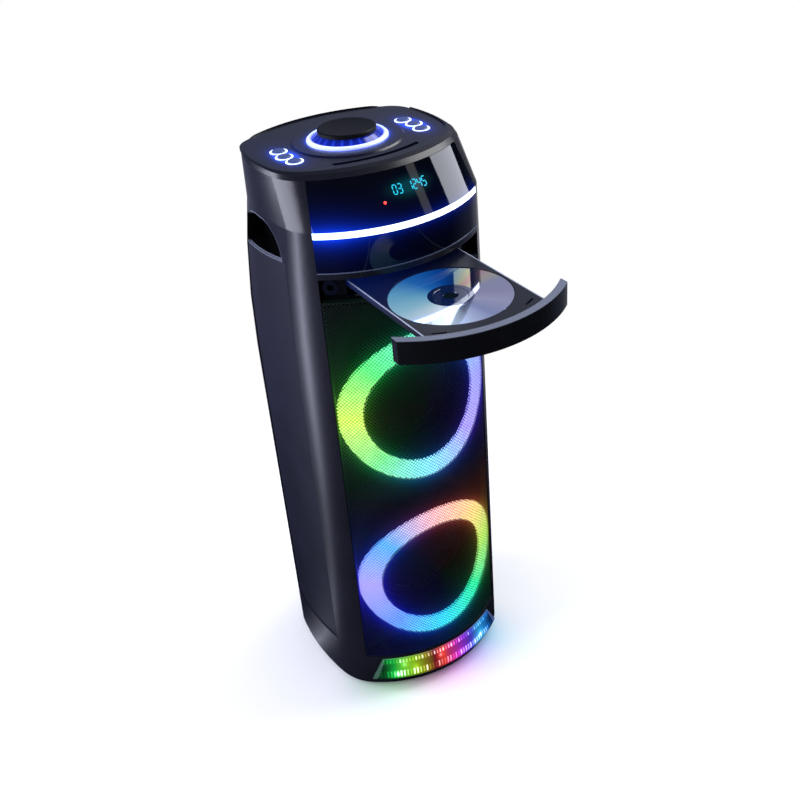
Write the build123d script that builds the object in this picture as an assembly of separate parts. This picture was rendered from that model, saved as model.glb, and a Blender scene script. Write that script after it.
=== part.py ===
# Party speaker with a motor-driven disc tray, modelled as it comes apart on a bench.
# Millimetres. +Z is up, -Y is the front, +X is the right-hand side seen from the front,
# and the origin is on the floor under the middle of the cabinet. The tray is open.
from build123d import *
import os
from dataclasses import dataclass, replace
from math import asin, atan2, cos, degrees, pi, radians, sin, sqrt

# Cabinet plan
body_depth = 237.5
body_width = 236.0
front_radius = 146.0
panel_half = 91.9
rear_corner_radius = 48.8
side_start_deg = 80.0
rear_corner_end_deg = 150.0
wall = 3.0
rear_shell_depth = 58.75
seam_gap = 0.3
fit_gap = 0.3

# Cabinet heights above the floor
shell_bottom = 3.0
bottom_round = 7.0
grille_bottom = 52.0
grille_height = 485.0
recess_height = 25.0
band_height = 6.0
lower_panel_height = 36.5
strip_height = 6.5
display_height = 44.0
crest_height = 6.0
taper_start = 430.0

# How the shoulders draw in above taper_start
shoulder_side_step = 6.5
shoulder_corner_radius = 96.9
shoulder_back_step = 4.75
display_lean = 28.0
rim_side_step = 11.0
rim_panel_step = 9.2
rim_corner_radius = 66.0
rim_back_step = 14.75
crest_front_step = 12.0
crest_side_step = 3.0
crest_corner_step = 20.0
deck_front_step = 7.5
deck_side_step = 1.5
deck_corner_step = 14.4

# Side panels and grips
side_panel_setback = 68.75
side_panel_bottom = 66.0
side_panel_thickness = 3.0
side_panel_inset = 1.2
grip_edge = 4.0
grip_rear_edge = 6.0
grip_rise = 36.0
grip_slant = 10.0
grip_depth = 26.0
grip_wall = 3.0

# Base
base_thickness = 4.0
foot_radius = 12.0
foot_side_setback = 46.0
foot_front_setback = 56.75
foot_rear_setback = 40.75
lens_top = 48.0
lens_bottom = 17.0
lens_bulge = 6.0
lens_top_half = 77.0
lens_bottom_half = 89.0
lens_depth = 6.0
board_thickness = 1.6

# Grille, baffle and light rings
grille_sheet = 1.2
grille_inset = 0.8
grille_columns = 12
grille_rows = 30
grille_web = 2.4
grille_border = 12.0
ring_outer_radius = 90.0
ring_inner_radius = 68.0
upper_ring_z = 398.0
ring_spacing = 231.0
ring_thickness = 3.0
channel_wall = 1.6
baffle_setback = 40.75
baffle_thickness = 9.0

# Woofers
woofer_hole_radius = 63.0
basket_radius = 79.0
basket_depth = 34.0
basket_sheet = 2.0
magnet_radius = 43.0
magnet_height = 22.0
cone_radius = 52.5
coil_radius = 13.0
coil_gap = 1.0
cone_travel = 4.0
surround_roll = 4.0

# Recess, tray and disc
liner_front_inset = 10.0
liner_thickness = 2.5
jack_side_setback = 12.4
jack_bore_radius = 3.2
jack_radius = 6.5
jack_flange_radius = 8.0
jack_depth = 10.5
tray_travel = 152.4
tray_width = 127.0
tray_thickness = 6.0
tray_drop = 7.5
tray_tail = 47.0
bezel_thickness = 8.0
bezel_gap = 0.6
disc_radius = 60.0
disc_hole_radius = 7.5
disc_thickness = 1.2
disc_to_face = 61.0
disc_recess_depth = 1.9
disc_clearance = 0.6
small_disc_radius = 41.0
small_disc_depth = 0.8

# Loader drive
gear_module = 1.0
gear_backlash = 0.3
rack_side_setback = 11.5
rack_body = 5.0
rack_height = 4.0
pinion_teeth = 24
drive_teeth = 30
idler_small_teeth = 12
idler_teeth = 28
motor_teeth = 12
drive_gear_setback = 35.75
gear_thickness = 4.0
gear_layer_gap = 0.6
gear_post_radius = 2.0
shaft_clearance = 0.05
loader_motor_radius = 12.0
loader_motor_length = 22.0

# Loader chassis, pickup and clamp
chassis_wall = 2.5
chassis_gap = 0.7
chassis_floor_drop = 24.0
clamp_bore_radius = 9.0
clamp_radius = 14.0
clamp_clearance = 0.08
pickup_width = 52.0
pickup_length = 85.35
turntable_radius = 14.0
play_lift = 1.7
nose_height = 2.2
nose_clearance = 0.7
rail_radius = 1.5
rail_x = 17.0

# Deck, knob and keys
deck_thickness = 2.8
deck_drop = 1.5
dish_radius = 59.0
dish_rise = 1.4
knob_y = 7.0
knob_radius = 30.5
knob_height = 12.0
knob_skirt_radius = 36.5
light_ring_outer = 42.5
light_ring_height = 4.0
shaft_radius = 3.0
encoder_width = 14.0
slot_half = 48.0
slot_width = 6.0
slot_depth = 7.0
slot_setback = 9.5
key_circle = 75.0
key_pitch_deg = 14.6
key_radius = 6.8
key_ring_radius = 9.2
key_travel = 1.2
key_proud = 1.8
control_board_drop = 11.0

# Rear and inside
socket_panel_half = 62.0
socket_panel_bottom = 330.0
socket_panel_height = 130.0
socket_panel_inset = 12.0
port_radius = 30.0
port_wall = 2.5
port_length = 85.0
port_z = 215.0
switch_width = 13.0
switch_height = 19.0
switch_tilt_deg = 7.0
switch_pivot_depth = 4.0
switch_pin_radius = 1.5
battery_width = 110.0
battery_depth = 50.0
battery_height = 90.0
screw_head_radius = 3.4
screw_head_height = 2.0

# Heights and places worked out from the sizes above
half_depth = body_depth / 2
seam_y = half_depth - rear_shell_depth
beyond = body_width + body_depth
arc_centre_y = front_radius - half_depth
grille_top = grille_bottom + grille_height
recess_top = grille_top + recess_height
panel_bottom = recess_top + band_height
strip_bottom = panel_bottom + lower_panel_height
strip_top = strip_bottom + strip_height
foot_x = body_width / 2 - foot_side_setback
foot_front_y = foot_front_setback - half_depth
foot_rear_y = half_depth - foot_rear_setback
battery_y = half_depth - 30 - battery_depth
baffle_y = baffle_setback - half_depth
jack_x = panel_half - jack_side_setback
rack_pitch_x = rack_side_setback - tray_width / 2
drive_gear_y = drive_gear_setback - half_depth
display_top = strip_top + display_height
crest_z = display_top + crest_height
deck_top = crest_z - deck_drop
deck_bottom = deck_top - deck_thickness
lower_ring_z = upper_ring_z - ring_spacing
tray_top = recess_top - tray_drop
tray_bottom = tray_top - tray_thickness
disc_open_y = -half_depth - disc_to_face
spindle_y = disc_open_y + tray_travel
pickup_rear = spindle_y + pickup_length
disc_bottom = tray_top - disc_recess_depth
window_half = panel_half + 1.1
side_panel_front = side_panel_setback - half_depth
grip_front = side_panel_front + grip_edge
grip_rear = seam_y - grip_rear_edge
grip_low_front = recess_top + grip_slant
grip_low_rear = recess_top
grip_top = grip_low_front + grip_rise
above = crest_z + deck_thickness + light_ring_height + knob_height


@dataclass(frozen=True)
class Plan:
    """The cabinet's plan outline at one height."""

    front: float
    panel_half: float
    half_width: float
    corner: float
    back: float


BODY = Plan(half_depth, panel_half, body_width / 2, rear_corner_radius, half_depth)
SHOULDER = Plan(half_depth, panel_half, BODY.half_width - shoulder_side_step,
                shoulder_corner_radius, half_depth - shoulder_back_step)
RIM = Plan(half_depth - display_lean, panel_half - rim_panel_step,
           BODY.half_width - rim_side_step, rim_corner_radius, half_depth - rim_back_step)
CREST = replace(RIM, front=RIM.front - crest_front_step,
                half_width=RIM.half_width - crest_side_step,
                panel_half=RIM.panel_half - crest_side_step,
                corner=RIM.corner - crest_corner_step,
                back=RIM.back - crest_side_step)
DECK = replace(CREST, front=CREST.front - deck_front_step,
               half_width=CREST.half_width - deck_side_step,
               panel_half=CREST.panel_half - 2 * deck_side_step,
               corner=CREST.corner - deck_corner_step,
               back=CREST.back - deck_side_step)


def blend(low, high, share):
    """A plan part of the way from one plan to another."""
    def mix(name):
        return getattr(low, name) * (1 - share) + getattr(high, name) * share
    return Plan(*[mix(name) for name in Plan.__dataclass_fields__])


def outward(angle):
    """Unit direction at an angle turned from straight ahead (-Y) towards the right."""
    return Vector(sin(angle), -cos(angle), 0)


def outline(plan, inset=0.0, z=0.0):
    """Plan face of tangent arcs: bowed front, corners, bowed sides, rounded rear."""
    a0 = asin(plan.panel_half / front_radius)
    a1 = radians(side_start_deg)
    a2 = pi - a1
    a3 = radians(rear_corner_end_deg)
    front_centre = Vector(0, front_radius - plan.front, 0)
    p0 = front_centre + outward(a0) * front_radius
    # The side's bow is the one that meets the rear corner and the back in tangents.
    turn = (cos(a0) - cos(a1)) / (sin(a1) - sin(a0))
    slope = (1 + cos(a3)) / sin(a3)
    reach = (cos(a2) - cos(a3)) + slope * (sin(a3) - sin(a2))
    room = plan.back - plan.corner * reach - p0.Y
    room -= turn * (plan.half_width - plan.panel_half) + slope * plan.half_width
    side = room / (2 * cos(a1) - (1 - sin(a1)) * (turn + slope))
    bow = side * (1 - sin(a1))
    corner = (plan.half_width - plan.panel_half - bow) / (sin(a1) - sin(a0))
    corner_centre = p0 - outward(a0) * corner
    p1 = corner_centre + outward(a1) * corner
    side_centre = p1 - outward(a1) * side
    p2 = side_centre + outward(a2) * side
    rear_centre = p2 - outward(a2) * plan.corner
    p3 = rear_centre + outward(a3) * plan.corner
    back_radius = p3.X / sin(a3)
    back_centre = p3 - outward(a3) * back_radius
    runs = [
        (front_centre, front_radius, -a0, a0),
        (corner_centre, corner, a0, a1),
        (side_centre, side, a1, a2),
        (rear_centre, plan.corner, a2, a3),
        (back_centre, back_radius, a3, 2 * pi - a3),
    ]
    edges = []
    for centre, radius, start, end in runs:
        points = [centre + outward(start + (end - start) * k / 2) * (radius - inset)
                  for k in range(3)]
        edges.append(ThreePointArc(*points))
    for edge in edges[3:0:-1]:
        flipped = [edge @ 1, edge @ 0.5, edge @ 0]
        edges.append(ThreePointArc(*[Vector(-p.X, p.Y, 0) for p in flipped]))
    return Pos(0, 0, z) * make_face(edges)


def cabinet_solid(inset=0.0, low=None, high=None):
    """The cabinet's outer form, or a copy set in by a wall, as one ruled loft."""
    ramp = strip_top - taper_start
    steps = [0.0, 0.35, 0.7, 1.0]
    stops = [(taper_start + ramp * s, blend(BODY, SHOULDER, s * s), 0.0) for s in steps]
    if low is None:
        foot = [(shell_bottom, 1.0), (shell_bottom + 0.3 * bottom_round, 0.4),
                (shell_bottom + bottom_round, 0.0)]
        stops = [(z, BODY, bottom_round * share) for z, share in foot] + stops
    else:
        stops = [(low, BODY, 0.0)] + stops
    if high is None:
        mid_z = display_top + 0.7 * crest_height
        stops += [(display_top, RIM, 0.0), (mid_z, blend(RIM, CREST, 0.45), 0.0),
                  (crest_z, CREST, 0.0)]
    else:
        share = (high - strip_top) / display_height
        stops.append((high, blend(SHOULDER, RIM, share), 0.0))
    return loft([outline(plan, inset + extra, z) for z, plan, extra in stops], ruled=True)


def block(x0, x1, y0, y1, z0, z1):
    """A box from its limits."""
    return Pos(x0, y0, z0) * Box(x1 - x0, y1 - y0, z1 - z0, align=(Align.MIN,) * 3)


def tube(radius, z0, z1, bore=0.0):
    """An upright cylinder, bored if a bore is given."""
    low = (Align.CENTER, Align.CENTER, Align.MIN)
    solid = Pos(0, 0, z0) * Cylinder(radius, z1 - z0, align=low)
    if bore:
        solid -= Pos(0, 0, z0) * Cylinder(bore, z1 - z0, align=low)
    return solid


def front_prism(points, y0, y1):
    """A closed outline in X and Z, pushed back from y0 to y1."""
    face = make_face(Polyline(*[(x, y0, z) for x, z in points], close=True))
    return extrude(face, amount=y1 - y0, dir=(0, 1, 0))


def spin(points, axis=Axis.Z):
    """A closed (radius, height) outline revolved about Z, or (radius, y) about Y."""
    if axis == Axis.Z:
        spots = [(r, 0, h) for r, h in points]
    else:
        spots = [(r, h, 0) for r, h in points]
    return revolve(make_face(Polyline(*spots, close=True)), axis)


def dome(radius, edge, apex):
    """A shallow arc from (radius, edge) to the axis at apex, its centre on the axis."""
    rise = edge - apex
    ball = (radius * radius + rise * rise) / (2 * abs(rise))
    side = 1 if rise > 0 else -1
    half_turn = asin(radius / ball) / 2
    return ThreePointArc((radius, edge), (ball * sin(half_turn),
                         apex + side * ball * (1 - cos(half_turn))), (0, apex))


def arc_plate(outer_inset, inner_inset, half, z0, z1, radius=front_radius,
              centre_y=arc_centre_y):
    """A plate bowed like the front, cut off square at each side."""
    outer, inner = radius - outer_inset, radius - inner_inset

    def arc(r, side):
        y_end = centre_y - sqrt(r * r - half * half)
        return ThreePointArc((-side * half, y_end, z0), (0, centre_y - r, z0),
                             (side * half, y_end, z0))

    front, back = arc(outer, 1), arc(inner, -1)
    sides = [Line(front @ 1, back @ 0), Line(back @ 1, front @ 0)]
    return extrude(make_face([front, sides[0], back, sides[1]]), z1 - z0)


def gear(teeth, z0, z1, phase_deg=0.0, bore=0.0):
    """A spur gear with straight-flanked teeth, a tooth's middle at phase_deg."""
    pitch = teeth * gear_module / 2
    root, tip = pitch - 1.1 * gear_module, pitch + 0.75 * gear_module
    half = (pi * gear_module / 2 - gear_backlash) / 2
    flank = 0.36
    points = []
    for tooth in range(teeth):
        middle = radians(phase_deg + 360 * tooth / teeth)
        for radius, side in ((root, -1), (tip, -1), (tip, 1), (root, 1)):
            width = half - (radius - pitch) * flank
            turn = middle + side * width / radius
            points.append((radius * cos(turn), radius * sin(turn), z0))
    solid = extrude(make_face(Polyline(*points, close=True)), z1 - z0)
    if bore:
        solid -= tube(bore, z0, z1)
    return solid


def grip_outline(shrink, x):
    """Half-moon grip outline at one x: straight below, arched above."""
    front, rear = grip_front + shrink, grip_rear - shrink
    top = grip_top - shrink
    low_front, low_rear = grip_low_front + shrink, grip_low_rear + shrink
    crown = front + 0.42 * (rear - front)
    shoulder_z = low_front + 0.68 * (top - low_front)
    start, crest = (x, front, low_front), (x, crown, top)
    corner = (x, rear, low_rear + 0.62 * (top - low_rear))
    bend = (x, front + 0.1 * (rear - front), shoulder_z)
    ease = (x, rear - 0.24 * (rear - front), top - 0.1 * (top - low_rear))
    edges = [
        ThreePointArc(start, bend, crest),
        ThreePointArc(crest, ease, corner),
        Line(corner, (x, rear, low_rear)),
        Line((x, rear, low_rear), start),
    ]
    return make_face(edges)


def grip_prism(shrink, x0, x1):
    """The grip outline pushed across from x0 to x1."""
    return extrude(grip_outline(shrink, x0), amount=x1 - x0, dir=(1, 0, 0))


def side_window(margin):
    """The opening of both side panels: their outline pushed right across."""
    low, front = side_panel_bottom + margin, side_panel_front + margin
    rear = seam_y - margin
    slope = (grip_low_rear - grip_low_front) / (grip_rear - grip_front)

    def under_grip(y):
        return grip_low_front + slope * (y - grip_front) - margin

    spots = [(front, low), (rear, low), (rear, under_grip(rear)), (front, under_grip(front))]
    reach = body_width
    face = make_face(Polyline(*[(-reach, y, z) for y, z in spots], close=True))
    return extrude(face, amount=2 * reach, dir=(1, 0, 0))


def display_window(margin):
    """The opening of the panels, widest below, drawn in with the lean."""
    half, top_half = window_half - margin, RIM.panel_half + 1.0 - margin
    low, top = panel_bottom + margin, display_top - margin
    return front_prism([(-half, low), (half, low), (half, strip_top), (top_half, top),
                        (-top_half, top), (-half, strip_top)], -beyond, side_panel_front - 5)


def lens_window(margin):
    """The foot lens's opening, its ends slanted."""
    top, low = lens_top - margin, lens_bottom + margin
    upper, lower = lens_top_half - margin, lens_bottom_half - margin
    return front_prism([(-lower, low), (lower, low), (upper, top), (-upper, top)],
                       -beyond, side_panel_front - 10)


# Cabinet shells

def cabinet_skin():
    """The whole skin with a solid cap under the deck, before it is split."""
    cap_bottom = deck_bottom - 2.7
    skin = cabinet_solid() - cabinet_solid(wall, high=cap_bottom)
    hole = extrude(outline(DECK, -fit_gap, deck_bottom), crest_height + deck_thickness)
    ledge_hole = extrude(outline(DECK, 3.0, cap_bottom - 1), crest_height + 8)
    return skin - hole - ledge_hole


def front_shell(skin):
    """Pillars, shoulders and rim in one moulding, with a shelf over the tray recess."""
    shell = skin & block(-beyond, beyond, -beyond, seam_y, 0, above)
    half = window_half
    shell -= front_prism([(-half, grille_bottom), (half, grille_bottom),
                          (half, recess_top), (-half, recess_top)], -beyond,
                         side_panel_front - 20)
    shell -= display_window(0)
    shell -= lens_window(0)
    shell -= side_window(0)
    shell -= grip_prism(0, -body_width, body_width)
    shelf_back = liner_front_inset + liner_thickness
    shelf = arc_plate(wall - 0.5, shelf_back, window_half, recess_top, recess_top + 2)
    return shell + shelf


def rear_shell(skin):
    """The back of the cabinet with the socket window and the port hole."""
    shell = skin & block(-beyond, beyond, seam_y + seam_gap, beyond, 0, above)
    half = socket_panel_half + fit_gap
    low = socket_panel_bottom - fit_gap
    top = socket_panel_bottom + socket_panel_height + fit_gap
    shell -= block(-half, half, half_depth - 3 * socket_panel_inset, beyond, low, top)
    bore = Rot(-90, 0, 0) * tube(port_radius + port_wall + fit_gap, seam_y, beyond)
    return shell - Pos(0, 0, port_z) * bore


def side_panels():
    """Both bowed side panels, set in a little from the pillars."""
    outer = cabinet_solid(side_panel_inset, low=shell_bottom)
    inner = cabinet_solid(side_panel_inset + side_panel_thickness, low=shell_bottom - 1)
    ring = (outer - inner) & side_window(fit_gap)
    left = ring & block(-beyond, 0, -beyond, beyond, 0, above)
    right = ring & block(0, beyond, -beyond, beyond, 0, above)
    return left, right


def grip_cup(side):
    """A grip pocket: walls and floor behind a mouth with a stepped bevel."""
    x_floor = side * (SHOULDER.half_width - grip_depth)
    x_out = side * body_width
    form = grip_prism(fit_gap, min(x_floor, x_out), max(x_floor, x_out))
    cup = form & cabinet_solid(0.5, low=shell_bottom)
    pocket_floor = x_floor + side * grip_wall
    span = sorted([pocket_floor, x_out])
    cup -= grip_prism(grip_wall + fit_gap, *span)
    mouth = grip_prism(fit_gap + 1.4, *span)
    return cup - (mouth - cabinet_solid(2.2, low=shell_bottom - 1))


# Base

def base_plate():
    """The floor of the cabinet with stiffening ribs."""
    z0 = foot_height()
    plate = extrude(outline(BODY, wall + 0.78 * bottom_round, z0), base_thickness)
    z1 = z0 + base_thickness
    for x in (-battery_width / 2 + 8, 0, battery_width / 2 - 8):
        plate += block(x - 1.5, x + 1.5, foot_front_y, battery_y + battery_depth, z1, z1 + 5)
    return plate


def foot_height():
    """The feet lift the base plate just clear of the shell's lower edge."""
    return shell_bottom + 1.0


def rubber_feet():
    """Turned rubber feet under the base plate: one at each corner and one in the middle."""
    top = foot_height()
    foot = spin([(0, 0), (foot_radius - 1.5, 0), (foot_radius, 1.5), (foot_radius - 0.6, top),
                 (0, top)])
    spots = [(x, y) for x in (-foot_x, foot_x) for y in (foot_front_y, foot_rear_y)]
    return Compound([Pos(x, y, 0) * foot for x, y in spots + [(0, 0)]])


def base_lens():
    """The clear bar across the foot: a bowed wedge with upright prism ribs."""
    r = front_radius
    points = [(r - lens_depth, lens_bottom), (r + 0.6 * lens_bulge, lens_bottom),
              (r + lens_bulge, lens_bottom + 7), (r + 0.5, lens_top), (r - lens_depth, lens_top)]
    swing = degrees(asin(lens_bottom_half / r)) + 1.5
    face = make_face(Polyline(*[(0, -q, z) for q, z in points], close=True))
    bar = revolve(Rot(0, 0, -swing) * face, Axis.Z, 2 * swing)
    bar = Pos(0, arc_centre_y, 0) * bar
    return bar & lens_window(fit_gap)


def base_led_board():
    """The bowed lamp strip behind the foot lens."""
    inset = lens_depth + fit_gap
    half = lens_top_half - 2
    return arc_plate(inset, inset + board_thickness, half, lens_bottom + 5, lens_top - 5)


# Front

def grille_openings():
    """A plain grid that stands for the sheet's fine holes."""
    across = (2 * window_half - grille_border) / grille_columns
    down = (grille_height - grille_border) / grille_rows
    middle = grille_bottom + grille_height / 2
    hole = block(-(across - grille_web) / 2, (across - grille_web) / 2, -beyond, baffle_y,
                 -(down - grille_web) / 2, (down - grille_web) / 2)
    spots = [(column - (grille_columns - 1) / 2, row - (grille_rows - 1) / 2)
             for column in range(grille_columns) for row in range(grille_rows)]
    return [Pos(x * across, 0, middle + z * down) * hole for x, z in spots]


def grille():
    """Bowed sheet with a folded edge all round and a grid of openings."""
    half = window_half - fit_gap
    low, top = grille_bottom + fit_gap, grille_top - fit_gap
    fold = liner_front_inset - 0.3
    pan = arc_plate(grille_inset, fold, half, low, top)
    hollow = arc_plate(grille_inset + grille_sheet, fold + 1, half - grille_sheet,
                       low + grille_sheet, top - grille_sheet)
    return pan - hollow - grille_openings()


def ring_band(z, outer, inner, near, far):
    """A round band lying on the bowed surface between two insets from the front."""
    plate = arc_plate(near, far, window_half - 1.5, z - outer - 5, z + outer + 5)
    axis_turn = Rot(90, 0, 0) * tube(outer, 0, 300, inner)
    return plate & (Pos(0, 0, z) * axis_turn)


def ring_diffusers():
    """Two milky rings just behind the grille sheet."""
    near = grille_inset + grille_sheet + fit_gap
    far = near + ring_thickness
    return Compound([ring_band(z, ring_outer_radius, ring_inner_radius, near, far)
                     for z in (upper_ring_z, lower_ring_z)])


def baffle():
    """Board that carries the woofers, with moulded light channels for the rings."""
    half = panel_half - 0.9
    back = baffle_y + baffle_thickness
    top = chassis_floor - fit_gap
    board = block(-half, half, baffle_y, back, grille_bottom + 4, top)
    notch = loader_motor_radius + 2
    board -= block(motor_x - notch, motor_x + notch, baffle_y - 1, back + 1,
                   chassis_floor - loader_motor_length - 2, top + 1)
    near = grille_inset + grille_sheet + 2 * fit_gap + ring_thickness
    for z in (upper_ring_z, lower_ring_z):
        board -= Pos(0, back + 1, z) * (Rot(90, 0, 0) * tube(woofer_hole_radius, 0, 30))
        for outer in (ring_outer_radius - 0.5, ring_inner_radius + channel_wall + 0.5):
            wall_tube = Rot(90, 0, 0) * tube(outer, -baffle_y, half_depth, outer - channel_wall)
            room = Pos(0, arc_centre_y, 0) * tube(front_radius - near, z - 95, z + 95)
            board += (Pos(0, 0, z) * wall_tube) & room
    return board


def ring_led_boards():
    """Ring-shaped lamp boards on the baffle, at the bottom of the light channels."""
    outer = ring_outer_radius - channel_wall - 3.0
    inner = ring_inner_radius + channel_wall + 1.5
    board = Rot(90, 0, 0) * tube(outer, -baffle_y, -baffle_y + board_thickness, inner)
    return Compound([Pos(0, 0, z) * board for z in (upper_ring_z, lower_ring_z)])


# Woofers, modelled at z = 0 with their axis along Y and set at each ring's height

def at_rings(solid):
    """One copy at the middle of each ring."""
    return Compound([Pos(0, 0, z) * solid for z in (upper_ring_z, lower_ring_z)])


basket_y = baffle_y + baffle_thickness
magnet_y = basket_y + basket_depth


def woofer_basket():
    """Pressed basket: a flange, a cone of six struts and a seat for the magnet."""
    seat = magnet_radius - 12.0
    s = basket_sheet
    flange_bore = woofer_hole_radius + 0.5
    points = [(flange_bore, basket_y), (basket_radius, basket_y), (basket_radius, basket_y + s),
              (flange_bore + s + 2, basket_y + s), (seat + s + 2, magnet_y - s),
              (seat + s + 2, magnet_y), (coil_radius + 4, magnet_y),
              (coil_radius + 4, magnet_y - s), (seat, magnet_y - s),
              (flange_bore, basket_y + s + 1)]
    shell = spin(points, Axis.Y)
    window = block(-14, 14, basket_y + 7, magnet_y - 6, 20, basket_radius)
    for k in range(6):
        shell -= Rot(0, 60 * k, 0) * window
    return shell


def woofer_magnet():
    """Ring magnet with its pole piece; the voice coil runs in the round gap."""
    floor_y = magnet_y + magnet_height - 6
    outer = coil_radius + coil_gap
    core = coil_radius - 1 - coil_gap
    points = [(outer, magnet_y), (magnet_radius - 2, magnet_y), (magnet_radius, magnet_y + 2),
              (magnet_radius, magnet_y + magnet_height - 2),
              (magnet_radius - 2, magnet_y + magnet_height), (0, magnet_y + magnet_height),
              (0, magnet_y), (core, magnet_y), (core, floor_y), (outer, floor_y)]
    return spin(points, Axis.Y)


def woofer_surround():
    """Half-roll rubber surround on the basket's lip."""
    y = basket_y
    inner, outer = cone_radius + fit_gap, woofer_hole_radius + 0.2
    mid = (inner + outer) / 2 - 1
    points = [(inner, y), (inner + 1.5, y - surround_roll * 0.8), (mid, y - surround_roll),
              (mid + 2.4, y - surround_roll * 0.7), (mid + 3.6, y - 0.8), (outer - 0.3, y - 0.8),
              (outer - 0.3, y + 2), (mid + 2.6, y + 2), (mid + 1.4, y - 0.6),
              (mid, y - surround_roll + 1.2), (inner + 1.4, y - 1.2), (inner + 0.8, y + 0.4)]
    return spin(points, Axis.Y)


def woofer_cone():
    """Paper cone, domed dust cap and voice coil in one moving piece."""
    y = basket_y
    neck_y = y + 19
    coil_end = magnet_y + magnet_height - 6 - cone_travel - 1
    rim = cone_radius
    neck = coil_radius + 3
    profile = [
        Line((rim, y), (neck, neck_y)),
        dome(neck, neck_y, neck_y - 5),
        Line((0, neck_y - 5), (0, neck_y - 4)),
        dome(coil_radius - 1, neck_y, neck_y - 4),
        Polyline((coil_radius - 1, neck_y), (coil_radius - 1, coil_end),
                 (coil_radius, coil_end), (coil_radius, neck_y + 2),
                 (neck + 1, neck_y + 1), (rim, y + 1.4), (rim, y)),
    ]
    return revolve(make_face(profile), Axis.Y)


# Recess, tray and disc

def jack_angle():
    """Turn of each jack about the front arc's axis."""
    return degrees(asin(jack_x / (front_radius - liner_front_inset)))


def at_jacks(solid):
    """Copies of a solid on the front arc's axis, swung to each jack."""
    z = (grille_top + recess_top) / 2
    return [Pos(0, arc_centre_y, z) * (Rot(0, 0, side * jack_angle()) * solid)
            for side in (-1, 1)]


def recess_liner():
    """Bowed back wall of the recess with the tray's mouth and two jack holes."""
    near, far = liner_front_inset, liner_front_inset + liner_thickness
    wall_plate = arc_plate(near, far, window_half - fit_gap, grille_top - fit_gap,
                           recess_top - 0.1)
    mouth_half = tray_width / 2 + 2.5
    mouth = block(-mouth_half, mouth_half, -half_depth, side_panel_front - 10, grille_top + 2,
                  recess_top - 2)
    wall_plate -= mouth
    for hole in at_jacks(Rot(90, 0, 0) * tube(jack_radius + 0.1, front_radius - 46, front_radius)):
        wall_plate -= hole
    return wall_plate


def front_jacks():
    """Two jack sockets, each a barrel with a ring nut in front."""
    face = front_radius - liner_front_inset
    barrel = Rot(90, 0, 0) * tube(jack_radius, face - jack_depth, face + 1.1, jack_bore_radius)
    nut = Rot(90, 0, 0) * tube(jack_flange_radius, face + 0.15, face + 1.1, jack_radius)
    cap = Rot(90, 0, 0) * tube(jack_radius, face - jack_depth - 1.5, face - jack_depth)
    return Compound(at_jacks(barrel + nut + cap))


def tray_floor_outline():
    """Tray plate from its tail inside the cabinet to the bezel, still square in front."""
    half = tray_width / 2
    tail = -half_depth + tray_tail
    return block(-half, half, -half_depth - tray_travel - 5, tail, tray_bottom, tray_top)


def disc_tray():
    """Tray plate with disc wells, pickup slot, finger slots and the rack below."""
    plate = tray_floor_outline()
    bezel_back = Pos(0, arc_centre_y - tray_travel, 0) * tube(front_radius - bezel_thickness,
                                                             tray_bottom, tray_top)
    plate &= bezel_back + block(-tray_width, tray_width, disc_open_y, 0, tray_bottom, tray_top)
    well = Pos(0, disc_open_y, 0) * tube(disc_radius + disc_clearance, disc_bottom, tray_top + 1)
    small = Pos(0, disc_open_y, 0) * tube(small_disc_radius, disc_bottom - small_disc_depth,
                                          tray_top + 1)
    slot_half_width = turntable_radius + 3
    slot_rear = disc_open_y + disc_radius - 2
    slot = Pos(0, disc_open_y, 0) * tube(slot_half_width + 2, tray_bottom - 1, tray_top + 1)
    slot += block(-slot_half_width, slot_half_width, disc_open_y, slot_rear, tray_bottom - 1,
                  tray_top + 1)
    plate = plate - well - small - slot
    for side in (-1, 1):
        vent_x = side * (tray_width / 2 - 14.5)
        plate -= Pos(vent_x, disc_open_y - disc_radius + 2, 0) * (
            Rot(0, 0, side * 28) * block(-7, 7, -1.2, 1.2, tray_bottom - 1, tray_top + 1))
    return plate + tray_rack()


def tray_rack():
    """Rack under the tray's left edge, in mesh with the drive gear's pinion."""
    pitch = pi * gear_module
    tip = rack_pitch_x + 0.75 * gear_module
    root = rack_pitch_x - 1.1 * gear_module
    half = (pitch / 2 - gear_backlash) / 2
    flank = 0.36
    z0 = tray_bottom - rack_height
    reach = int(tray_travel / pitch) + 4
    points = [(root - rack_body, drive_gear_y + 2.5 * pitch, z0)]
    last = drive_gear_y - (reach + 0.5) * pitch
    points.append((root - rack_body, last, z0))
    points.append((root, last, z0))
    for step in range(-reach, 2):
        middle = drive_gear_y + (step + 0.5) * pitch
        for x, side in ((root, -1), (tip, -1), (tip, 1), (root, 1)):
            width = half - (x - rack_pitch_x) * flank
            points.append((x, middle + side * width, z0))
    points.append((root, drive_gear_y + 2.5 * pitch, z0))
    return extrude(make_face(Polyline(*points, close=True)), rack_height)


def tray_bezel():
    """Bowed front of the tray; it closes flush with the panels."""
    half = window_half - bezel_gap
    bezel = arc_plate(0, bezel_thickness, half, grille_top + bezel_gap, recess_top - bezel_gap)
    bezel = Pos(0, -tray_travel, 0) * bezel
    upright = bezel.edges().filter_by(Axis.Z).group_by(Axis.Y)[-1]
    return chamfer(upright, 1.2)


def disc():
    """A 120 mm disc with its stacking ring, lying in the tray's well."""
    z = disc_bottom
    t = disc_thickness
    points = [(disc_hole_radius, z), (disc_radius - 0.2, z), (disc_radius, z + 0.2),
              (disc_radius, z + t - 0.2), (disc_radius - 0.2, z + t), (17.6, z + t),
              (17.2, z + t + 0.2), (16.8, z + t), (disc_hole_radius, z + t)]
    return Pos(0, disc_open_y, 0) * spin(points)


# Loader

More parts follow.
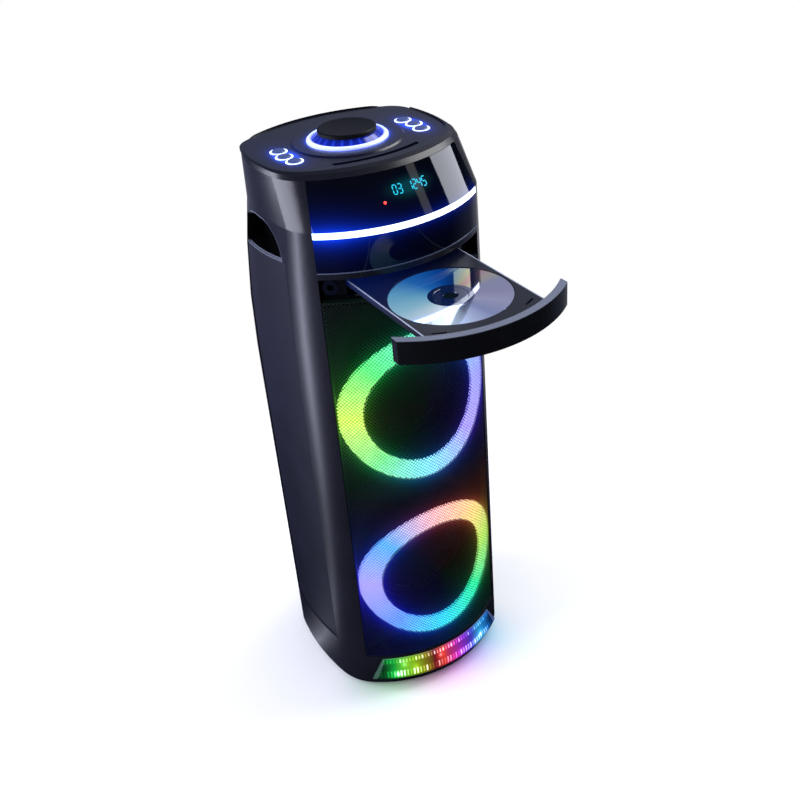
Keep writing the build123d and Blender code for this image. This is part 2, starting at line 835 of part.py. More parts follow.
drive_gear_x = rack_pitch_x + pinion_teeth * gear_module / 2
idler_x = drive_gear_x + (drive_teeth + idler_small_teeth) * gear_module / 2
motor_x = idler_x + (idler_teeth + motor_teeth) * gear_module / 2
chassis_inner = tray_width / 2 + chassis_gap
chassis_floor = tray_bottom - chassis_floor_drop
floor_top = chassis_floor + chassis_wall
chassis_rear = -half_depth + tray_tail + tray_travel + chassis_wall + 1.5
pinion_z = tray_bottom - rack_height
drive_z = pinion_z - gear_layer_gap - gear_thickness
idler_z = drive_z - gear_layer_gap - gear_thickness


def loader_chassis():
    """Open tub: walls with runners under the tray, floor with the pickup's opening."""
    outer = chassis_inner + chassis_wall
    top = tray_top + 2.0
    front_cut = front_radius - liner_front_inset - liner_thickness - fit_gap
    floor_plate = block(-outer, outer, -half_depth, chassis_rear, chassis_floor, floor_top)
    floor_plate &= (Pos(0, arc_centre_y, 0) * tube(front_cut, chassis_floor, floor_top)
                    + block(-outer, outer, 0, chassis_rear, chassis_floor, floor_top))
    opening_half = pickup_width / 2 + 3
    floor_plate -= block(-opening_half, opening_half, spindle_y - 22, pickup_rear - 6,
                         chassis_floor - 1, floor_top + 1)
    floor_plate -= Pos(motor_x, drive_gear_y, 0) * tube(loader_motor_radius - 5,
                                                       chassis_floor - 1, floor_top + 1)
    tub = floor_plate
    wall_front = arc_centre_y - sqrt(front_cut ** 2 - outer ** 2)
    runner_reach = 5.0
    for side in (-1, 1):
        near, far = sorted([side * chassis_inner, side * outer])
        tub += block(near, far, wall_front, chassis_rear, chassis_floor, top)
        near, far = sorted([side * (chassis_inner - runner_reach), side * chassis_inner])
        runner_top = tray_bottom - fit_gap
        tub += block(near, far, wall_front, chassis_rear, runner_top - 2, runner_top)
        for y in (wall_front + 6, spindle_y + 26, chassis_rear - 20):
            tub += block(near, far, y, y + 12, tray_top + fit_gap, top)
    tub += block(-outer, outer, chassis_rear - chassis_wall, chassis_rear, chassis_floor, top)
    for x, high in ((drive_gear_x, tray_bottom - 1.0), (idler_x, idler_z + 9.0)):
        tub += Pos(x, drive_gear_y, 0) * tube(gear_post_radius, floor_top, high)
        seat_top = (drive_z if x == drive_gear_x else idler_z) - 0.3
        tub += Pos(x, drive_gear_y, 0) * tube(gear_post_radius + 1.5, floor_top, seat_top)
    for side in (-1, 1):
        x = side * (pickup_width / 2 + 1.0)
        near, far = sorted([x, x + side * 3])
        tub += block(near, far, pickup_rear - 5.5, pickup_rear + 6, floor_top - 1,
                     pickup_axis_z + 4.5)
        tub -= Pos(x, pickup_rear, pickup_axis_z) * (
            Rot(0, 90, 0) * tube(pickup_pin + shaft_clearance, -6, 6))
    return tub


# The pickup is drawn level, as it plays, and then tipped down about its rear pins.
pickup_pin = 2.0
pickup_plate_z = tray_bottom - 8.5
pickup_axis_z = pickup_plate_z
seat_z = disc_bottom + play_lift
turntable_top = seat_z + nose_height
pickup_drop_deg = degrees(asin((turntable_top - tray_bottom + nose_clearance)
                               / (pickup_rear - spindle_y)))
rail_lift = 4.0
rail_ear = 2.5
rail_front = spindle_y + 13.0
rail_rear = pickup_rear - 10.0


def loader_motor():
    """Can motor hung under the chassis floor."""
    can = tube(loader_motor_radius, chassis_floor - loader_motor_length, chassis_floor)
    shaft = tube(1.0, chassis_floor, idler_z + gear_thickness)
    boss = tube(4.0, chassis_floor, chassis_floor + 1.5)
    return Pos(motor_x, drive_gear_y, 0) * (can + boss + shaft)


def motor_pinion():
    """Small gear on the motor's shaft."""
    phase = 180 + 180 / motor_teeth
    return Pos(motor_x, drive_gear_y, 0) * gear(motor_teeth, idler_z, idler_z + gear_thickness,
                                                phase, 1.0 + shaft_clearance)


def idler_gear():
    """Compound gear between the motor pinion and the drive gear."""
    bore = gear_post_radius + shaft_clearance
    large = gear(idler_teeth, idler_z, idler_z + gear_thickness, 0, bore)
    collar = tube(idler_small_teeth * gear_module / 2 - 1.1, idler_z + gear_thickness, drive_z,
                  bore)
    small = gear(idler_small_teeth, drive_z, drive_z + gear_thickness,
                 180 + 180 / idler_small_teeth, bore)
    return Pos(idler_x, drive_gear_y, 0) * (large + collar + small)


def drive_gear():
    """Compound gear whose upper pinion drives the tray's rack."""
    bore = gear_post_radius + shaft_clearance
    large = gear(drive_teeth, drive_z, drive_z + gear_thickness, 0, bore)
    collar = tube(pinion_teeth * gear_module / 2 - 2, drive_z + gear_thickness, pinion_z + 0.3,
                  bore)
    small = gear(pinion_teeth, pinion_z + 0.3, tray_bottom - 0.5, 180, bore)
    return Pos(drive_gear_x, drive_gear_y, 0) * (large + collar + small)


def tipped(solid):
    """A pickup piece tipped down to its resting place."""
    return (Pos(0, pickup_rear, pickup_axis_z) * Rot(pickup_drop_deg, 0, 0)
            * Pos(0, -pickup_rear, -pickup_axis_z) * solid)


def pickup_frame():
    """Tilting frame for the spindle motor, the rails and the sled, on two rear pins."""
    half = pickup_width / 2
    z = pickup_plate_z
    front = spindle_y - turntable_radius
    plate = block(-half, half, front, pickup_rear - 6, z, z + 2)
    plate -= block(-half + 4, half - 4, rail_front + rail_ear, rail_rear, z - 1, z + 3)
    plate -= Pos(0, spindle_y, 0) * tube(3.0, z - 1, z + 3)
    for side in (-1, 1):
        near, far = sorted([side * half, side * (half - 2)])
        plate += block(near, far, front, pickup_rear + 3, z, z + 4)
        plate += block(near, far, pickup_rear - 8, pickup_rear + 3, pickup_axis_z - 3, z + 4)
        pin_near, pin_far = sorted([side * (half - 1), side * (half + 3.5)])
        plate += Pos(0, pickup_rear, pickup_axis_z) * (
            Rot(0, 90, 0) * tube(pickup_pin, pin_near, pin_far))
        x = side * rail_x
        for y in (rail_front, rail_rear):
            plate += block(x - 2.6, x + 2.6, y, y + rail_ear, z + 1, z + rail_lift + 2.2)
            plate -= Pos(x, y - 1, z + rail_lift) * (
                Rot(-90, 0, 0) * tube(rail_radius, 0, rail_ear + 2))
    return plate


def spindle_motor():
    """Flat motor under the frame, its shaft up through the frame's hole."""
    z = pickup_plate_z
    can = spin([(0, z - 7), (9.5, z - 7), (11, z - 5.5), (11, z), (0, z)])
    return Pos(0, spindle_y, 0) * (can + tube(1.0, z, turntable_top - 3.1))


def turntable():
    """Disc seat with a centring nose."""
    top, seat = turntable_top, seat_z
    hub = pickup_plate_z + 2.6
    points = [(1.0 + shaft_clearance, hub), (4, hub), (4, seat - 3.5), (6, seat - 2),
              (turntable_radius - 1, seat - 2), (turntable_radius, seat - 1.2),
              (turntable_radius, seat), (disc_hole_radius - 0.2, seat),
              (disc_hole_radius - 0.6, top - 0.9), (4.5, top), (2, top),
              (2, top - 2.9), (1.0 + shaft_clearance, top - 2.9)]
    return Pos(0, spindle_y, 0) * spin(points)


def sled_rails():
    """Two ground steel rods that guide the sled."""
    z = pickup_plate_z + rail_lift
    rod = Rot(-90, 0, 0) * tube(rail_radius, 0, rail_rear + rail_ear - rail_front)
    return Compound([Pos(side * rail_x, rail_front, z) * rod for side in (-1, 1)])


def pickup_sled():
    """Sled with the lens, bored for both rails."""
    z = pickup_plate_z + rail_lift
    y0 = rail_front + rail_ear + 0.5
    length = 16.0
    body = block(-rail_x - 4, rail_x + 4, y0, y0 + length, z - 3.5, z + 3.0)
    body += Pos(0, y0 + length / 2, 0) * tube(5.0, z + 3.0, z + 6.5)
    body += Pos(0, y0 + length / 2, 0) * tube(2.4, z + 6.5, z + 7.5)
    for side in (-1, 1):
        bore = Rot(-90, 0, 0) * tube(rail_radius + shaft_clearance, 0, length)
        body -= Pos(side * rail_x, y0, z) * bore
    return body


clamp_plate_z = tray_top + 2.0 + 1.6


def clamp_bridge():
    """Flat strap over the tray, on legs that stand on the chassis walls."""
    outer = chassis_inner + chassis_wall
    y0, y1 = spindle_y - 12, spindle_y + 12
    z = clamp_plate_z
    strap = block(-outer, outer, y0, y1, z, z + 1.5)
    for side in (-1, 1):
        near, far = sorted([side * chassis_inner, side * outer])
        strap += block(near, far, y0, y1, tray_top + 2.0, z)
    strap += Pos(0, spindle_y, 0) * tube(clamp_radius + 5, z, z + 1.5)
    return strap - Pos(0, spindle_y, 0) * tube(clamp_bore_radius, z - 1, z + 2)


def clamp_puck():
    """Magnetic puck that hangs in the bridge and presses on the disc."""
    z = clamp_plate_z
    neck = clamp_bore_radius - clamp_clearance
    points = [(0, z - 1.0), (disc_hole_radius + 0.5, z - 1.0), (disc_hole_radius + 0.5, z - 2.6),
              (clamp_radius - 1, z - 2.6), (clamp_radius, z - 1.8),
              (clamp_radius, z - 0.5), (neck, z - 0.5), (neck, z + 1.5),
              (clamp_radius - 1, z + 1.5), (clamp_radius - 1, z + 2.8), (0, z + 2.8)]
    return Pos(0, spindle_y, 0) * spin(points)


# Panels and display

def lower_panel():
    """Gloss panel below the light strip, with a thin lip along its lower edge."""
    half = window_half - fit_gap
    low = panel_bottom + fit_gap
    panel = arc_plate(0, wall, half, low, strip_bottom - fit_gap / 2)
    return panel + arc_plate(-0.5, 0, half, low, low + 1.0)


def light_strip():
    """Milky bar between the two gloss panels."""
    half = window_half - fit_gap
    return arc_plate(-0.3, wall, half, strip_bottom + fit_gap / 2, strip_top - fit_gap / 2)


def leaning_skin(inset, z0, z1):
    """The leaning front between two heights, set in from the surface."""
    stops = []
    for z in (z0, z1):
        share = (z - strip_top) / display_height
        stops.append(outline(blend(SHOULDER, RIM, share), inset, z))
    return loft(stops, ruled=True)


def display_panel():
    """Leaning gloss panel over the display."""
    low, top = strip_top + fit_gap / 2, display_top - fit_gap
    skin = leaning_skin(0, low, top) - leaning_skin(wall, low, top)
    return skin & display_window(fit_gap)


def display_module():
    """Display glass and its board, leaning behind the panel."""
    lean = degrees(atan2(display_lean, display_height))
    mid_z = (strip_top + display_top) / 2
    mid_y = -half_depth + display_lean / 2
    back = 8.7
    board = block(-40, 40, back, back + board_thickness, -15, 15)
    glass = block(-18, 33, back - 2.5, back, -8, 8)
    lamp = block(-31, -26, back - 2, back, -3, 0)
    return Pos(0, mid_y, mid_z) * (Rot(-lean, 0, 0) * (board + glass + lamp))


# Deck

def key_spots():
    """Centres of the six keys, left three then right three, rear to front."""
    spots = []
    for side in (-1, 1):
        for k in (1, 0, -1):
            turn = radians(k * key_pitch_deg)
            spots.append((side * key_circle * cos(turn), key_circle * sin(turn)))
    return spots


def deck_slot(margin, z0, z1):
    """The tablet slot, bowed like the deck's front edge."""
    deck_centre = front_radius - DECK.front
    inset = slot_setback - slot_width / 2 - margin
    return arc_plate(inset, inset + slot_width + 2 * margin, slot_half + margin, z0, z1,
                     centre_y=deck_centre)


def top_deck():
    """Control plate: raised dish, slot trough, key holes and board posts."""
    plate = extrude(outline(DECK, 0, deck_bottom), deck_thickness)
    dish = spin([(0, deck_top), (dish_radius, deck_top), (dish_radius - 2, deck_top + dish_rise),
                 (0, deck_top + dish_rise)])
    trough = deck_slot(2.0, deck_top - slot_depth - 2, deck_bottom)
    posts = []
    for x, y in control_post_spots():
        posts.append(Pos(x, y, 0) * tube(3.0, control_board_z() + board_thickness, deck_bottom))
    plate = plate + Pos(0, knob_y, 0) * dish + trough
    for post in posts:
        plate += post
    plate -= deck_slot(0, deck_top - slot_depth, deck_top + dish_rise + 1)
    plate -= Pos(0, knob_y, 0) * tube(shaft_radius + 2.5, deck_bottom - 1, deck_top + 5)
    seat = deck_top + dish_rise - 1.0
    plate -= Pos(0, knob_y, 0) * tube(light_ring_outer + 0.1, seat, seat + 5)
    for x, y in key_spots():
        plate -= Pos(x, y, 0) * tube(key_radius + fit_gap, deck_bottom - 1, deck_top + 1)
        plate -= Pos(x, y, 0) * tube(key_ring_radius + 0.1, deck_top - 1.2, deck_top + 1)
    return plate


def control_board_z():
    """Underside of the board below the keys."""
    return deck_bottom - control_board_drop - board_thickness


def control_post_spots():
    """Posts from the deck down to the control board."""
    half = key_circle - 23
    return [(x, y) for x in (-half, half) for y in (knob_y - 23, knob_y + 27)]


def knob_light_ring():
    """Milky ring round the knob's skirt."""
    z = deck_top + dish_rise - 1.0
    inner = knob_skirt_radius + 0.7
    h = light_ring_height
    points = [(inner, z), (light_ring_outer, z), (light_ring_outer, z + h * 0.55),
              (light_ring_outer - 2.2, z + h), (inner + 0.6, z + h), (inner, z + h - 0.6)]
    return Pos(0, knob_y, 0) * spin(points)


def volume_knob():
    """Knob with a dished cap over a flared skirt."""
    base = deck_top + dish_rise - 0.5
    top = base + knob_height
    r = knob_radius
    profile = [
        Polyline((0, base + 2), (knob_skirt_radius - 2, base + 2), (knob_skirt_radius - 2, base),
                 (knob_skirt_radius, base), (knob_skirt_radius, base + 1.5), (r - 1.5, top - 5),
                 (r, top - 4.4), (r, top - 1), (r - 1, top), (r - 3.2, top)),
        dome(r - 3.2, top, top - 2.2),
        Line((0, top - 2.2), (0, base + 2)),
    ]
    knob = revolve(Rot(90, 0, 0) * make_face(profile), Axis.Z)
    knob -= tube(shaft_radius, base, top - 4)
    return Pos(0, knob_y, 0) * knob


def knob_shaft():
    """Encoder shaft, pressed into the knob."""
    base = deck_top + dish_rise - 0.5
    return Pos(0, knob_y, 0) * tube(shaft_radius, encoder_floor() + 1, base + knob_height - 4)


def encoder_floor():
    """Underside of the encoder body, on the control board."""
    return control_board_z() + board_thickness


def encoder():
    """Rotary encoder body with its bushing."""
    w = encoder_width / 2
    z0 = encoder_floor()
    body = block(-w, w, -w, w, z0, z0 + 6.5) + tube(shaft_radius + 1.6, z0 + 6.5, deck_bottom)
    body -= tube(shaft_radius + shaft_clearance, z0 + 1, deck_bottom)
    return Pos(0, knob_y, 0) * body


def key_light_rings():
    """A milky ring flush in the deck round each key."""
    ring = tube(key_ring_radius, deck_top - 1.2, deck_top + 0.4, key_radius + 0.35)
    return Compound([Pos(x, y, 0) * ring for x, y in key_spots()])


def key(x, y):
    """A round key with a crowned cap and a stem down to its switch."""
    top = deck_top + key_proud
    r = key_radius
    points = [(0, key_stem_z()), (2, key_stem_z()), (2, deck_bottom), (r, deck_bottom),
              (r, top - 0.6), (r - 0.8, top), (0, top)]
    return Pos(x, y, 0) * spin(points)


def key_stem_z():
    """Where a key's stem meets the moving plunger of its switch."""
    return control_board_z() + board_thickness + 3.5 + key_travel + 0.2


def control_board():
    """Board under the deck with a push switch below each key."""
    z0 = control_board_z()
    half = key_circle + 11
    board = block(-half, half, knob_y - 37, knob_y + 33, z0, z0 + board_thickness)
    for x, y in key_spots():
        board += Pos(x, y, 0) * block(-3, 3, -3, 3, z0 + board_thickness,
                                      z0 + board_thickness + 3.5)
    return board


# Rear and inside

def socket_plate_y():
    """Front face of the socket panel's plate."""
    return half_depth - socket_panel_inset


def rear_socket_panel():
    """Sunk tub with a flat plate for the inlet and the switch."""
    half, depth = socket_panel_half, socket_panel_inset
    low, top = socket_panel_bottom, socket_panel_bottom + socket_panel_height
    y0 = socket_plate_y() - 2
    tub = block(-half, half, y0, half_depth + 5, low, top)
    tub -= block(-half + 2, half - 2, y0 + 2, half_depth + 6, low + 2, top - 2)
    tub &= cabinet_solid(0.6, low=shell_bottom)
    tub -= switch_place() * block(-switch_width / 2 - 0.3, switch_width / 2 + 0.3, -9, 9,
                                  -switch_height / 2 - 0.3, switch_height / 2 + 0.3)
    ear_near = switch_width / 2 + 0.3
    bore = Rot(0, 90, 0) * tube(switch_pin_radius + shaft_clearance, -switch_width, switch_width)
    for near, far in ((-ear_near - 2.5, -ear_near), (ear_near, ear_near + 2.5)):
        tub += switch_place() * block(near, far, -switch_pivot_depth - 4, -1, -4, 4)
    tub -= switch_place() * Pos(0, -switch_pivot_depth, 0) * bore
    return tub - inlet_place() * inlet_outline(0.2)


def switch_place():
    """Where the rocker sits on the plate."""
    return Pos(-28, socket_plate_y(), socket_panel_bottom + 38)


def inlet_place():
    """Where the mains inlet sits on the plate."""
    return Pos(22, socket_plate_y(), socket_panel_bottom + 38)


def inlet_outline(margin):
    """Figure-of-eight body of the inlet, along Y."""
    lobe = Rot(90, 0, 0) * tube(4.6 + margin, -8, 30)
    span = block(-4, 4, -30, 8, -4.6 - margin, 4.6 + margin)
    return Pos(-4, 0, 0) * lobe + Pos(4, 0, 0) * lobe + span


def mains_inlet():
    """Figure-of-eight inlet with its hollow and two contact pins."""
    y0, y1 = -14.0, 1.0
    shell = inlet_outline(0) & block(-20, 20, y0, y1, -20, 20)
    hollow = inlet_outline(-1.0) & block(-20, 20, y0 + 3, y1 + 1, -20, 20)
    pin = Rot(-90, 0, 0) * tube(1.2, y0 + 3, y1 - 3)
    body = shell - hollow
    for x in (-4.3, 4.3):
        body += Pos(x, 0, 0) * pin
    return inlet_place() * body


def power_switch():
    """Rocker on a middle pin, resting with its upper end out."""
    w, h = switch_width / 2 - 0.2, switch_height / 2 - 0.8
    top = switch_pivot_depth + 1.2
    dish = 4 * switch_height
    rocker = block(-w, w, -1, top, -h, h)
    rocker -= Pos(0, top + dish, 0) * (Rot(0, 90, 0) * tube(dish + 0.6, -2 * w, 2 * w))
    rocker += Rot(0, 90, 0) * tube(switch_pin_radius + 1.5, -w, w)
    rocker += Rot(0, 90, 0) * tube(switch_pin_radius, -w - 2, w + 2)
    turned = Rot(switch_tilt_deg, 0, 0) * rocker
    return switch_place() * Pos(0, -switch_pivot_depth, 0) * turned


def bass_port():
    """Flared reflex tube, its mouth flush with the rear shell."""
    r, t = port_radius, port_wall
    end = half_depth + 5
    start = half_depth - port_length
    points = [(r, start), (r + t, start), (r + t, end), (r + 1.5, end), (r, end - 12)]
    return (Pos(0, 0, port_z) * spin(points, Axis.Y)) & cabinet_solid(0.0, low=shell_bottom)


def main_board():
    """Upright amplifier board with its heat sink, hung on the socket panel."""
    y1 = socket_plate_y() - 2 - 15
    low = socket_panel_bottom + 2
    board = block(-56, 56, y1 - board_thickness, y1, low, low + 118)
    for k in range(7):
        board += block(-50 + k * 9, -48 + k * 9, y1 - board_thickness - 18, y1 - board_thickness,
                       low + 60, low + 105)
    for x in (-50, 50):
        for z in (low + 6, low + 112):
            board += Pos(x, y1, z) * (Rot(-90, 0, 0) * tube(3.0, 0, 15))
    return board


def battery_pack():
    """Sealed battery standing on the base plate's ribs."""
    z0 = foot_height() + base_thickness + 5
    half = battery_width / 2
    pack = block(-half, half, battery_y, battery_y + battery_depth, z0, z0 + battery_height)
    return fillet(pack.edges().filter_by(Axis.Z), 4)


def case_screws():
    """Screws of the socket panel and of the base plate."""
    head = spin([(0, 0), (screw_head_radius, 0), (screw_head_radius, 0.8),
                 (screw_head_radius - 1.2, screw_head_height), (0, screw_head_height)])
    spots = []
    for x in (-socket_panel_half + 8, socket_panel_half - 8):
        for z in (socket_panel_bottom + 8, socket_panel_bottom + socket_panel_height - 8):
            spots.append(Pos(x, socket_plate_y(), z) * (Rot(-90, 0, 0) * head))
    for x in (-foot_x + 30, foot_x - 30):
        for y in (foot_front_y - 8, foot_rear_y + 12):
            spots.append(Pos(x, y, foot_height()) * (Rot(180, 0, 0) * head))
    return Compound(spots)


def build():
    """Every node by name."""
    skin = cabinet_skin()
    left, right = side_panels()
    nodes = {
        "front_shell": front_shell(skin),
        "rear_shell": rear_shell(skin),
        "side_panel_left": left,
        "side_panel_right": right,
        "grip_cup_left": grip_cup(-1),
        "grip_cup_right": grip_cup(1),
        "base_plate": base_plate(),
        "rubber_feet": rubber_feet(),
        "base_lens": base_lens(),
        "base_led_board": base_led_board(),
        "grille": grille(),
        "baffle": baffle(),
        "ring_diffusers": ring_diffusers(),
        "ring_led_boards": ring_led_boards(),
        "woofer_baskets": at_rings(woofer_basket()),
        "woofer_magnets": at_rings(woofer_magnet()),
        "woofer_surrounds": at_rings(woofer_surround()),
        "upper_cone": Pos(0, 0, upper_ring_z) * woofer_cone(),
        "lower_cone": Pos(0, 0, lower_ring_z) * woofer_cone(),
        "recess_liner": recess_liner(),
        "front_jacks": front_jacks(),
        "disc_tray": disc_tray(),
        "tray_bezel": tray_bezel(),
        "disc": disc(),
        "loader_chassis": loader_chassis(),
        "loader_motor": loader_motor(),
        "motor_pinion": motor_pinion(),
        "idler_gear": idler_gear(),
        "drive_gear": drive_gear(),
        "pickup_frame": tipped(pickup_frame()),
        "spindle_motor": tipped(spindle_motor()),
        "turntable": tipped(turntable()),
        "pickup_sled": tipped(pickup_sled()),
        "sled_rails": tipped(sled_rails()),
        "clamp_bridge": clamp_bridge(),
        "clamp_puck": clamp_puck(),
        "display_panel": display_panel(),
        "lower_panel": lower_panel(),
        "light_strip": light_strip(),
        "display_module": display_module(),
        "top_deck": top_deck(),
        "volume_knob": volume_knob(),
        "knob_shaft": knob_shaft(),
        "encoder": encoder(),
        "knob_light_ring": knob_light_ring(),
        "key_light_rings": key_light_rings(),
        "control_board": control_board(),
        "rear_socket_panel": rear_socket_panel(),
        "mains_inlet": mains_inlet(),
        "power_switch": power_switch(),
        "bass_port": bass_port(),
        "main_board": main_board(),
        "battery_pack": battery_pack(),
        "case_screws": case_screws(),
    }
    names = ["key_left_rear", "key_left_mid", "key_left_front",
             "key_right_rear", "key_right_mid", "key_right_front"]
    for name, (x, y) in zip(names, key_spots()):
        nodes[name] = key(x, y)
    return nodes


os.makedirs("parts", exist_ok=True)
for node, shape in build().items():
    export_step(shape, f"parts/{node}.step")
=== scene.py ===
"""Looks of the party speaker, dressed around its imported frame."""
import math

import bmesh
import bpy
from mathutils import Matrix, Vector


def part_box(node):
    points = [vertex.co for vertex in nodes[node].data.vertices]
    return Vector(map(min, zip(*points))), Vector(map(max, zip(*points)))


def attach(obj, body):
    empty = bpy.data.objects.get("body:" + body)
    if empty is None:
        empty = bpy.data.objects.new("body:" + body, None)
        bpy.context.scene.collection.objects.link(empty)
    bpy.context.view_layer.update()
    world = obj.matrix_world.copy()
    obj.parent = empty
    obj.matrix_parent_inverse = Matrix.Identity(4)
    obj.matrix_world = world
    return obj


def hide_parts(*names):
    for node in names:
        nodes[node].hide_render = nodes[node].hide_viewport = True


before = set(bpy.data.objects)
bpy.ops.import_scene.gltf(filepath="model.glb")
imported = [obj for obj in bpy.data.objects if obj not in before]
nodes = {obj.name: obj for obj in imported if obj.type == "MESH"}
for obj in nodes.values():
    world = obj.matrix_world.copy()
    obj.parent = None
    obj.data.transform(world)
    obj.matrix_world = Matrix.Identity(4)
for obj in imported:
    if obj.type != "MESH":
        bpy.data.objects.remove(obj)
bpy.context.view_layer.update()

MM = 0.001

# Sizes of the speaker that the looks follow, in metres.
# The bowed front: its arc's radius, and the arc's centre behind the face
BOW_RADIUS = 146.0 * MM
BOW_CENTRE_Y = 27.25 * MM
# The two light rings behind the grille
RING_HEIGHTS = (398.0 * MM, 167.0 * MM)
RING_OUTER = 90.0 * MM
RING_INNER = 68.0 * MM
# The gloss panels and the light strip between them
LOWER_PANEL_FOOT = 568.3 * MM
STRIP_LOW = 604.5 * MM
STRIP_TOP = 611.0 * MM
STRIP_MIDDLE = 607.0 * MM
STRIP_HALF = 92.0 * MM
PANEL_EDGE_X = -91.3 * MM
PANEL_LEAN, PANEL_RISE = 28.0 * MM, 44.0 * MM
DISPLAY_X = 8.5 * MM
DISPLAY_Z = 638.0 * MM
# Disc, tray and the tray's front, where they stand at rest
DISC_CENTRE_Y = -179.75 * MM
DISC_CLEAR_RADIUS = 22.5 * MM
TRAY_HALF = 63.5 * MM
TRAY_TOP = 554.5 * MM
BEZEL_TOP = 561.4 * MM
# Knob, its light ring and the circle that the keys stand on
KNOB_Y = 7.0 * MM
SKIRT_LOW, SKIRT_TOP = 660.5 * MM, 668.0 * MM
SKIRT_BARS = 22.0
LIGHT_RING_RADIUS = 42.5 * MM
LIGHT_RING_WHITE = 2.8 * MM
KEY_CIRCLE = 75.0 * MM
# A grip's faces further out than this are its bevelled rim
GRIP_RIM_X = 107.5 * MM
# The foot lens: low and top edge, half its width there, and its two rows of prisms
LENS_HEIGHTS = (17.3 * MM, 47.7 * MM)
LENS_HALVES = (88.6 * MM, 76.8 * MM)
LENS_ROWS = ((20 * MM, 31 * MM), (40 * MM, 46.5 * MM))
PRISM_PITCH = 4.0 * MM

# Glows: strength at the lamp, and the distance over which it falls to about a third
RING_GLOWS = ((0.75, 5 * MM), (0.15, 26 * MM))
STRIP_GLOWS = ((0.7, 3.5 * MM), (0.05, 12 * MM))
UNDER_STRIP_GLOW = (0.025, 28 * MM)
STRIP_END_GLOW = (0.9, 7 * MM)
WINDOW_GLOW = (0.08, 3 * MM)
KNOB_GLOWS = ((0.7, 3 * MM), (0.12, 14 * MM))
KEY_GLOWS = ((0.8, 3 * MM), (0.2, 10 * MM))
SPILL_GLOW = (0.9, 28 * MM)

# Most of a noise's values lie between these, and the middle ones between the second pair
NOISE_MOST = (0.3, 0.7)
NOISE_MIDDLE = (0.35, 0.65)


# Camera and lamps

def place_camera():
    """The photograph's own viewpoint: front left and above, slightly rolled."""
    right = Vector((0.86203144, -0.50104342, -0.07653291))
    up = Vector((0.32273541, 0.42616831, 0.84511681))
    back = Vector((-0.39082432, -0.75321714, 0.52907494))
    turn = Matrix((right, up, back)).transposed().to_4x4()
    data = bpy.data.cameras.new("camera")
    data.sensor_width = 36.0
    data.lens = 47.779
    camera = bpy.data.objects.new("camera", data)
    camera.matrix_world = Matrix.Translation((-0.46529, -0.95334, 1.00442)) @ turn
    bpy.context.scene.collection.objects.link(camera)
    bpy.context.scene.camera = camera


def area_lamp(name, place, aim, size, power, colour="#ffffff"):
    """A rectangular softbox turned towards a point."""
    data = bpy.data.lights.new(name, "AREA")
    data.shape = "RECTANGLE"
    data.size, data.size_y = size
    data.energy = power
    data.color = linear(colour)[:3]
    lamp = bpy.data.objects.new(name, data)
    place = Vector(place)
    turn = (Vector(aim) - place).to_track_quat("-Z", "Y").to_matrix().to_4x4()
    lamp.matrix_world = Matrix.Translation(place) @ turn
    bpy.context.scene.collection.objects.link(lamp)


# Helpers for materials

def linear(colour):
    """An sRGB hex colour as linear red, green, blue and full alpha."""
    parts = [int(colour[i:i + 2], 16) / 255 for i in (1, 3, 5)]
    return [p / 12.92 if p <= 0.04045 else ((p + 0.055) / 1.055) ** 2.4 for p in parts] + [1.0]


def add(tree, kind, settings=None, links=None):
    """Adds a node, sets its fields and sockets, and feeds sockets from other outputs."""
    made = tree.nodes.new("ShaderNode" + kind)
    for key, value in (settings or {}).items():
        if isinstance(key, str) and hasattr(made, key):
            setattr(made, key, value)
        else:
            made.inputs[key].default_value = value
    for key, output in (links or {}).items():
        tree.links.new(output, made.inputs[key])
    return made


def material(name, **surface):
    """A material with one principled shader; returns it with its tree and shader."""
    made = bpy.data.materials.new(name)
    made.use_nodes = True
    tree = made.node_tree
    shader = tree.nodes["Principled BSDF"]
    for key, value in surface.items():
        shader.inputs[key.replace("_", " ")].default_value = value
    return made, tree, shader


def places(tree):
    """Object coordinates as x, y and z."""
    spot = add(tree, "TexCoord").outputs["Object"]
    parts = add(tree, "SeparateXYZ", links={"Vector": spot}).outputs
    return parts["X"], parts["Y"], parts["Z"]


def sums(tree, operation, *terms):
    """Math nodes on numbers or outputs, taken pair by pair, or one node on a lone term."""
    result = terms[0]
    for term in terms[1:] or (None,):
        made = tree.nodes.new("ShaderNodeMath")
        made.operation = operation
        for k, value in enumerate((result, term)):
            if isinstance(value, (int, float)):
                made.inputs[k].default_value = value
            elif value is not None:
                tree.links.new(value, made.inputs[k])
        result = made.outputs[0]
    return result


def past(tree, value, limit):
    """How far a value is over a limit, and 0 below it."""
    return sums(tree, "MAXIMUM", sums(tree, "SUBTRACT", value, limit), 0.0)


def off_from(tree, value, centre):
    """How far a value is from a centre, to either side."""
    return sums(tree, "ABSOLUTE", sums(tree, "SUBTRACT", value, centre))


def reach_from(tree, *offsets):
    """The length of two offsets, each an output less a number."""
    squares = []
    for value, centre in offsets:
        offset = sums(tree, "SUBTRACT", value, centre)
        squares.append(sums(tree, "MULTIPLY", offset, offset))
    return sums(tree, "SQRT", sums(tree, "ADD", *squares))


def whole_turn(tree, x, y):
    """The angle of x and y as a share of a turn, from 0 to 1, counted from +X."""
    made = add(tree, "Math", {"operation": "WRAP", 1: 1.0, 2: 0.0},
               {0: sums(tree, "DIVIDE", sums(tree, "ARCTAN2", y, x), 2 * math.pi)})
    return made.outputs[0]


def bow_turn(tree, x, y):
    """The angle round the bow's axis, 0 in the middle of the front, plus to the right."""
    return sums(tree, "ARCTAN2", x, sums(tree, "SUBTRACT", BOW_CENTRE_Y, y))


